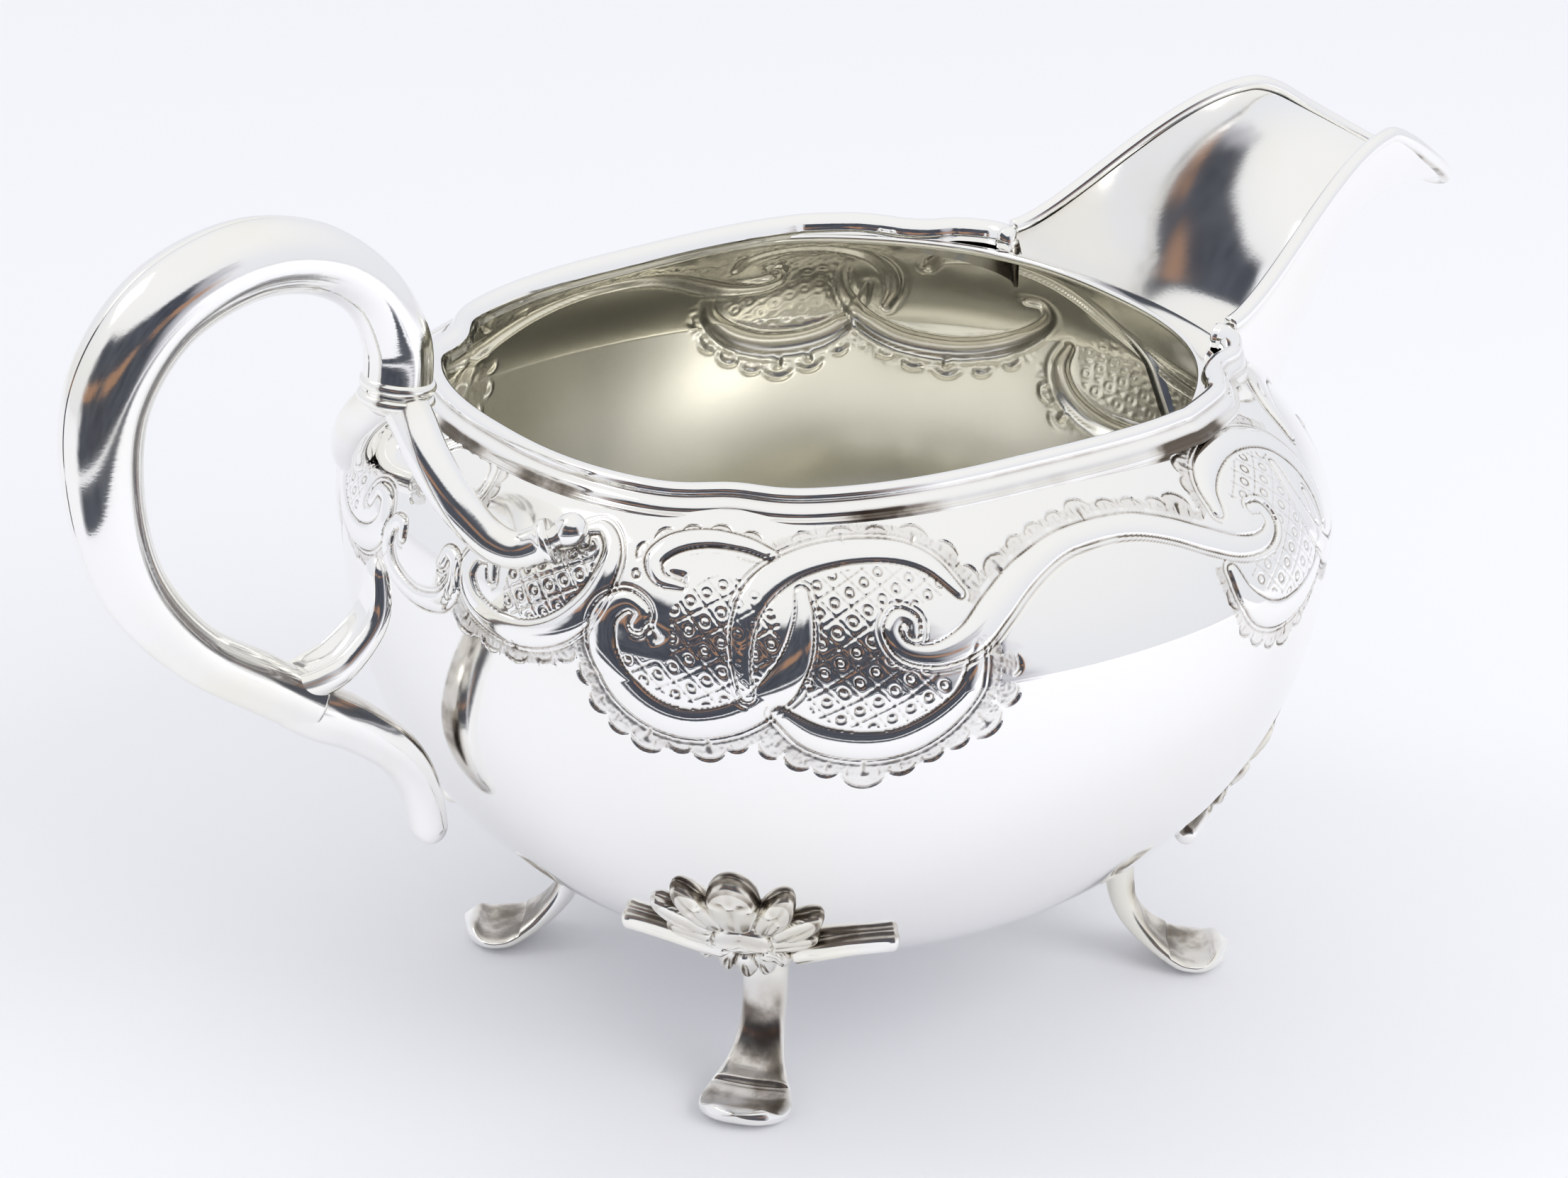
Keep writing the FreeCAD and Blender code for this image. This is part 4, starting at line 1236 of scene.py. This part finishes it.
def grooved(share):
    """A round outline with a groove along its outer face."""
    turn = np.linspace(0, 2 * math.pi, 64, endpoint=False)
    away = angle_from(turn, 0.5 * math.pi)
    reach = 1 - 0.14 * np.exp(-(away / 0.34) ** 2) * math.sin(math.pi * min(share + 0.1, 1)) ** 0.3
    return round_outline(turn, reach)


def make_arms(place, side_name):
    """The two grooved scroll arms that run along the bowl from behind the leaf."""
    angle_deg, _ = FEET[place]
    pieces = []
    for direction, end in ((-1, "fore"), (1, "aft")):
        spine = []
        for turned, z, lift, radius in ARM_SPINE:
            angle = math.radians(angle_deg - math.copysign(ARM_TURN, angle_deg - 90) + direction * turned)
            point = bowl_surface(np.array(angle), np.array(z))
            level = unit(np.array([math.cos(angle), math.sin(angle), -0.6]))
            spine.append((*(point + level * lift), radius, radius))
        side = np.cross(outward_of(angle_deg), UP) * direction
        rings = sweep(np.array(spine), grooved, UP * direction + 0.3 * side, 110, 1.0, 0.9)
        name = f"arm_cast_{place}_{side_name}_{end}"
        rings = keep_outside(rings)
        # The top of each arm is darkened: painted shade for the bowl and its shadow reflected there.
        pieces.append(loft(name, mirrored(rings, SIDES[side_name]), 0.75 * top_of(rings, 0.3)))
    return pieces


# --- materials -------------------------------------------------------------------------
class Nodes:
    """A short way to write a node tree."""

    def __init__(self, tree):
        self.tree = tree
        tree.nodes.clear()

    def add(self, kind, inputs=None, **settings):
        node = self.tree.nodes.new("ShaderNode" + kind)
        for key, value in settings.items():
            setattr(node, key, value)
        for key, value in (inputs or {}).items():
            if isinstance(value, bpy.types.NodeSocket):
                self.tree.links.new(value, node.inputs[key])
            else:
                node.inputs[key].default_value = value
        return node

    def math(self, operation, *values):
        return self.add("Math", dict(enumerate(values)), operation=operation).outputs[0]

    def remap(self, value, low, high, to_low=0.0, to_high=1.0, kind="SMOOTHSTEP"):
        inputs = {"Value": value, "From Min": low, "From Max": high, "To Min": to_low, "To Max": to_high}
        return self.add("MapRange", inputs, interpolation_type=kind).outputs[0]

    def noise(self, vector, scale, detail=4.0):
        inputs = {"Vector": vector, "Scale": scale, "Detail": detail}
        return self.add("TexNoise", inputs).outputs["Fac"]

    def mix(self, share, first, second):
        inputs = {"Factor": share, 6: first, 7: second}
        return self.add("Mix", inputs, data_type="RGBA").outputs[2]

    def attribute(self, name):
        return self.add("Attribute", attribute_name=name).outputs["Fac"]


def new_material(name):
    """An empty node material, and the short way to write its nodes."""
    material = bpy.data.materials.new(name)
    material.use_nodes = True
    return material, Nodes(material.node_tree)


BRIGHT = (0.965, 0.96, 0.945, 1)
WARM = (0.93, 0.905, 0.79, 1)
# Brown and near black are the tarnish colours, also used for the painted shade some pieces carry.
BROWN = (0.30, 0.215, 0.12, 1)
BLACK_TARNISH_AND_SHADE = (0.055, 0.048, 0.045, 1)


def silver(name, roughness=0.07, tarnish_and_shade=1.0, yellowing=0.15, hairlines=0.05):
    """Worn silver: hairline scratches, uneven polish, tarnish in the recesses and in faint clouds, and the
    painted shade some pieces carry.
    """
    material, n = new_material(name)
    place = n.add("TexCoord").outputs["Object"]
    clouds = n.noise(place, 42.0, 5.0)
    patches = n.noise(place, 160.0, 6.0)
    stretched = n.add("Mapping", {"Vector": place, "Rotation": (0.4, 0.3, 0.9), "Scale": (160, 2600, 2600)})
    hairs = n.noise(stretched.outputs[0], 1.0, 2.0)
    pits = n.add("TexVoronoi", {"Vector": place, "Scale": 900.0}).outputs["Distance"]
    # Darkening per point: tarnish in hollows, and painted shade on the tops, undersides and edges of some
    # pieces.
    tarnish_and_shade_mask = n.attribute("tarnish_and_shade")
    matte = n.attribute("matte")
    inside = n.attribute("inside")

    faint = n.math("MULTIPLY", n.remap(clouds, 0.45, 0.75), yellowing)
    warm = n.math("MAXIMUM", faint, n.math("MULTIPLY", inside, 0.65))
    colour = n.mix(warm, BRIGHT, WARM)
    broken = n.math("MULTIPLY", tarnish_and_shade_mask, n.remap(patches, 0.35, 0.65, 0.4, 1.0))
    brown = n.math("MULTIPLY", n.math("MINIMUM", broken, 1.0), 0.85 * tarnish_and_shade)
    colour = n.mix(brown, colour, BROWN)
    black = n.math("MULTIPLY", n.remap(broken, 0.35, 0.95), 0.75 * tarnish_and_shade)
    colour = n.mix(black, colour, BLACK_TARNISH_AND_SHADE)

    rough = n.remap(clouds, 0.3, 0.75, roughness * 0.7, roughness * 1.6)
    rough = n.math("ADD", rough, n.math("MULTIPLY", matte, 0.22))
    rough = n.math("ADD", rough, n.math("MULTIPLY", inside, 0.12))
    rough = n.math("ADD", rough, n.math("MULTIPLY", broken, 0.18))

    grain = n.math("MULTIPLY", n.math("SUBTRACT", 1.0, pits), matte)
    relief = n.math("ADD", n.math("MULTIPLY", hairs, hairlines), n.math("MULTIPLY", grain, 0.5))
    bump = n.add("Bump", {"Strength": 0.25, "Distance": 0.0002, "Height": relief})
    shader = n.add("BsdfPrincipled", {
        "Base Color": colour, "Metallic": 1.0, "Roughness": rough, "Normal": bump.outputs[0],
    })
    n.add("OutputMaterial", {"Surface": shader.outputs[0]})
    return material


def floor_material():
    """Matte, faintly blue paper."""
    material, n = new_material("pale_paper")
    shader = n.add("BsdfPrincipled", {"Base Color": (0.885, 0.89, 0.925, 1), "Roughness": 0.75})
    n.add("OutputMaterial", {"Surface": shader.outputs[0]})
    return material


# --- the shot --------------------------------------------------------------------------
CAMERA_AZIMUTH = math.radians(-35.85)
CAMERA_ELEVATION = math.radians(24.12)
CAMERA_ROLL = math.radians(0.95)
CAMERA_DISTANCE = 563.2
TARGET_FROM_MIDDLE = np.array([-3.8, 0.0, -4.5])
LENS = 106.2


def camera_axes():
    """Right, up and back of the camera, before its small roll."""
    a, e = CAMERA_AZIMUTH, CAMERA_ELEVATION
    back = np.array([math.sin(a) * math.cos(e), -math.cos(a) * math.cos(e), math.sin(e)])
    right = unit(np.cross(-back, UP))
    return right, np.cross(back, right), back


def make_camera():
    """The camera, at the photograph's viewing angle."""
    low, high = (np.array(corner) / MM for corner in cad_box)
    right, up, back = camera_axes()
    c, s = math.cos(CAMERA_ROLL), math.sin(CAMERA_ROLL)
    right, up = right * c + up * s, up * c - right * s
    data = bpy.data.cameras.new("camera")
    data.lens = LENS
    data.sensor_width = 36.0
    data.clip_start = 0.01
    camera = add_object("camera", data)
    matrix = Matrix((right, up, back)).transposed().to_4x4()
    matrix.translation = Vector(((low + high) / 2 + TARGET_FROM_MIDDLE + back * CAMERA_DISTANCE) * MM)
    camera.matrix_world = matrix
    bpy.context.scene.camera = camera


def make_floor():
    """A plain pale table."""
    size = 5000.0
    points = np.array([(-size, -size, 0), (size, -size, 0), (size, size, 0), (-size, size, 0)]) * MM
    mesh = bpy.data.meshes.new("floor")
    mesh.from_pydata(points.tolist(), [], [(0, 1, 2, 3)])
    mesh.materials.append(floor_material())
    add_object("floor", mesh)


def make_world():
    """A white tent, a little bluer and dimmer near the floor."""
    world = bpy.data.worlds.new("tent")
    bpy.context.scene.world = world
    world.use_nodes = True
    n = Nodes(world.node_tree)
    direction = n.add("TexCoord").outputs["Generated"]
    height = n.math("ARCSINE", n.add("SeparateXYZ", {0: direction}).outputs[2])
    colour = n.mix(n.remap(height, 0.0, 1.1), (0.89, 0.905, 0.96, 1), (1.0, 1.0, 1.0, 1))
    background = n.add("Background", {"Color": colour, "Strength": 0.92})
    n.add("OutputWorld", {"Surface": background.outputs[0]})


FLAG_PROFILE = [            # distance from the boat and height of the dark room in front of the tent
    (200, 1.0), (330, 5.0), (420, 60.0), (470, 180.0), (480, 330.0), (475, 460.0),
]
FLAG_LEFT = math.radians(-62)
FLAG_RIGHT = math.radians(52)


def flag_material(right, level_back):
    """Blue-black with a warm ragged streak, greyer on the right and fading out at its edges."""
    material, n = new_material("dark_room")
    place = n.add("TexCoord").outputs["Object"]
    parts = []
    for axis in (right, level_back):
        dot = n.add("VectorMath", {0: place, 1: tuple(axis)}, operation="DOT_PRODUCT")
        parts.append(dot.outputs["Value"])
    ragged = n.math("SUBTRACT", n.noise(place, 11.0, 4.0), 0.5)
    azimuth = n.math("ADD", n.math("ARCTAN2", *parts), n.math("MULTIPLY", ragged, 0.30))
    height = n.add("SeparateXYZ", {0: place}).outputs[2]
    height = n.math("ADD", height, n.math("MULTIPLY", ragged, 0.05))

    sideways = n.math("MULTIPLY", n.remap(azimuth, FLAG_LEFT, FLAG_LEFT + 0.2),
                      n.remap(azimuth, FLAG_RIGHT - 0.2, FLAG_RIGHT, 1.0, 0.0))
    cover = n.math("MULTIPLY", sideways, n.remap(height, 0.37, 0.44, 1.0, 0.0))
    streak = n.math("MULTIPLY", n.remap(height, 0.125, 0.145), n.remap(height, 0.185, 0.215, 1.0, 0.0))
    streak = n.math("MULTIPLY", streak, n.remap(n.noise(place, 5.0, 2.0), 0.40, 0.55))
    colour = n.mix(n.noise(place, 16.0, 5.0), (0.012, 0.015, 0.025, 1), (0.13, 0.14, 0.17, 1))
    colour = n.mix(n.remap(azimuth, 0.55, 0.75), colour, (0.45, 0.45, 0.5, 1))
    colour = n.mix(n.math("MULTIPLY", streak, 0.85), colour, (0.42, 0.24, 0.15, 1))
    glow = n.add("Emission", {"Color": colour})
    clear = n.add("BsdfTransparent")
    shader = n.add("MixShader", {0: cover, 1: clear.outputs[0], 2: glow.outputs[0]})
    n.add("OutputMaterial", {"Surface": shader.outputs[0]})
    return material


def make_flag():
    """The dark room the camera stands in, which only reflections can see."""
    right, _, back = camera_axes()
    level_back = unit(back * [1, 1, 0])
    profile = smooth(FLAG_PROFILE, 30)
    turn = np.linspace(FLAG_LEFT, FLAG_RIGHT, 60)[:, None]
    level = np.cos(turn) * level_back + np.sin(turn) * right
    rings = level[None] * profile[:, None, :1] + UP * profile[:, None, 1:]
    mesh = bpy.data.meshes.new("flag")
    quads = strip_quads(len(profile), len(turn), closed=False)
    mesh.from_pydata((rings.reshape(-1, 3) * MM).tolist(), [], quads.tolist())
    mesh.shade_smooth()
    mesh.materials.append(flag_material(right, level_back))
    flag = add_object("flag", mesh)
    flag.visible_camera = False
    flag.visible_diffuse = False
    flag.visible_shadow = False
    flag.visible_transmission = False


LIGHTS = [                  # name, place in metres, size, power, and whether reflections show it
    ("softbox", (-0.7, 0.5, 1.1), 0.5, 1.5, True),
    ("fill", (0.25, -0.75, 0.55), 0.6, 2.9, False),
]


def make_lights():
    """A soft light behind the boat's left for the shadows, and a fill over the table in front."""
    for name, place, size, power, in_reflections in LIGHTS:
        data = bpy.data.lights.new(name, "AREA")
        data.energy = power
        data.size = size
        light = add_object(name, data)
        light.location = Vector(place)
        light.rotation_euler = (-light.location).to_track_quat("-Z", "Y").to_euler()
        light.visible_glossy = in_reflections


# --- assembly --------------------------------------------------------------------------
def finish_piece(piece, material, slot, *nodes):
    """Gives a piece its material and its place in the frame."""
    piece.data.materials.append(material)
    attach(piece, "root")
    if nodes:
        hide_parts(*nodes)


def main():
    """Builds every piece, then the setting."""
    body = silver("silver_bowl")
    wire = silver("silver_wire", roughness=0.05, yellowing=0.1)
    spout = silver("silver_spout", roughness=0.10, yellowing=0.35)
    grip = silver("silver_handle", roughness=0.09, yellowing=0.7, hairlines=0.08)
    cast = silver("silver_cast", roughness=0.12, yellowing=0.9, hairlines=0.08)

    finish_piece(make_bowl(), body, "polished_silver", "bowl")
    finish_piece(make_rim(), wire, "wire_silver", "rim_moulding")
    finish_piece(make_spout(), spout, "polished_silver", "spout")
    finish_piece(make_edge_wire(), wire, "wire_silver", "spout_edge_wire")
    finish_piece(make_collar(), cast, "cast_silver", "handle_collar")
    finish_piece(make_tail(), cast, "cast_silver", "handle_tail")
    finish_piece(make_spur(), cast, "cast_silver", "handle_spur")
    for side in SIDES:
        finish_piece(make_handle_half(side), grip, "handle_silver", f"handle_{side}_half")
        finish_piece(make_prong(side), cast, "cast_silver", f"fork_prong_{side}")
        finish_piece(make_bud(side), cast, "cast_silver", f"fork_bud_{side}")
        for place in FEET:
            finish_piece(make_leg(place, side), cast, "cast_silver", f"leg_{place}_{side}")
            finish_piece(make_leaf(place, side), cast, "cast_silver", f"foot_leaf_{place}_{side}")
            for arm in make_arms(place, side):
                finish_piece(arm, cast, "cast_silver", f"foot_scrolls_{place}_{side}")
    make_floor()
    make_world()
    make_flag()
    make_lights()
    make_camera()
    bpy.context.scene.view_settings.view_transform = "Standard"


main()
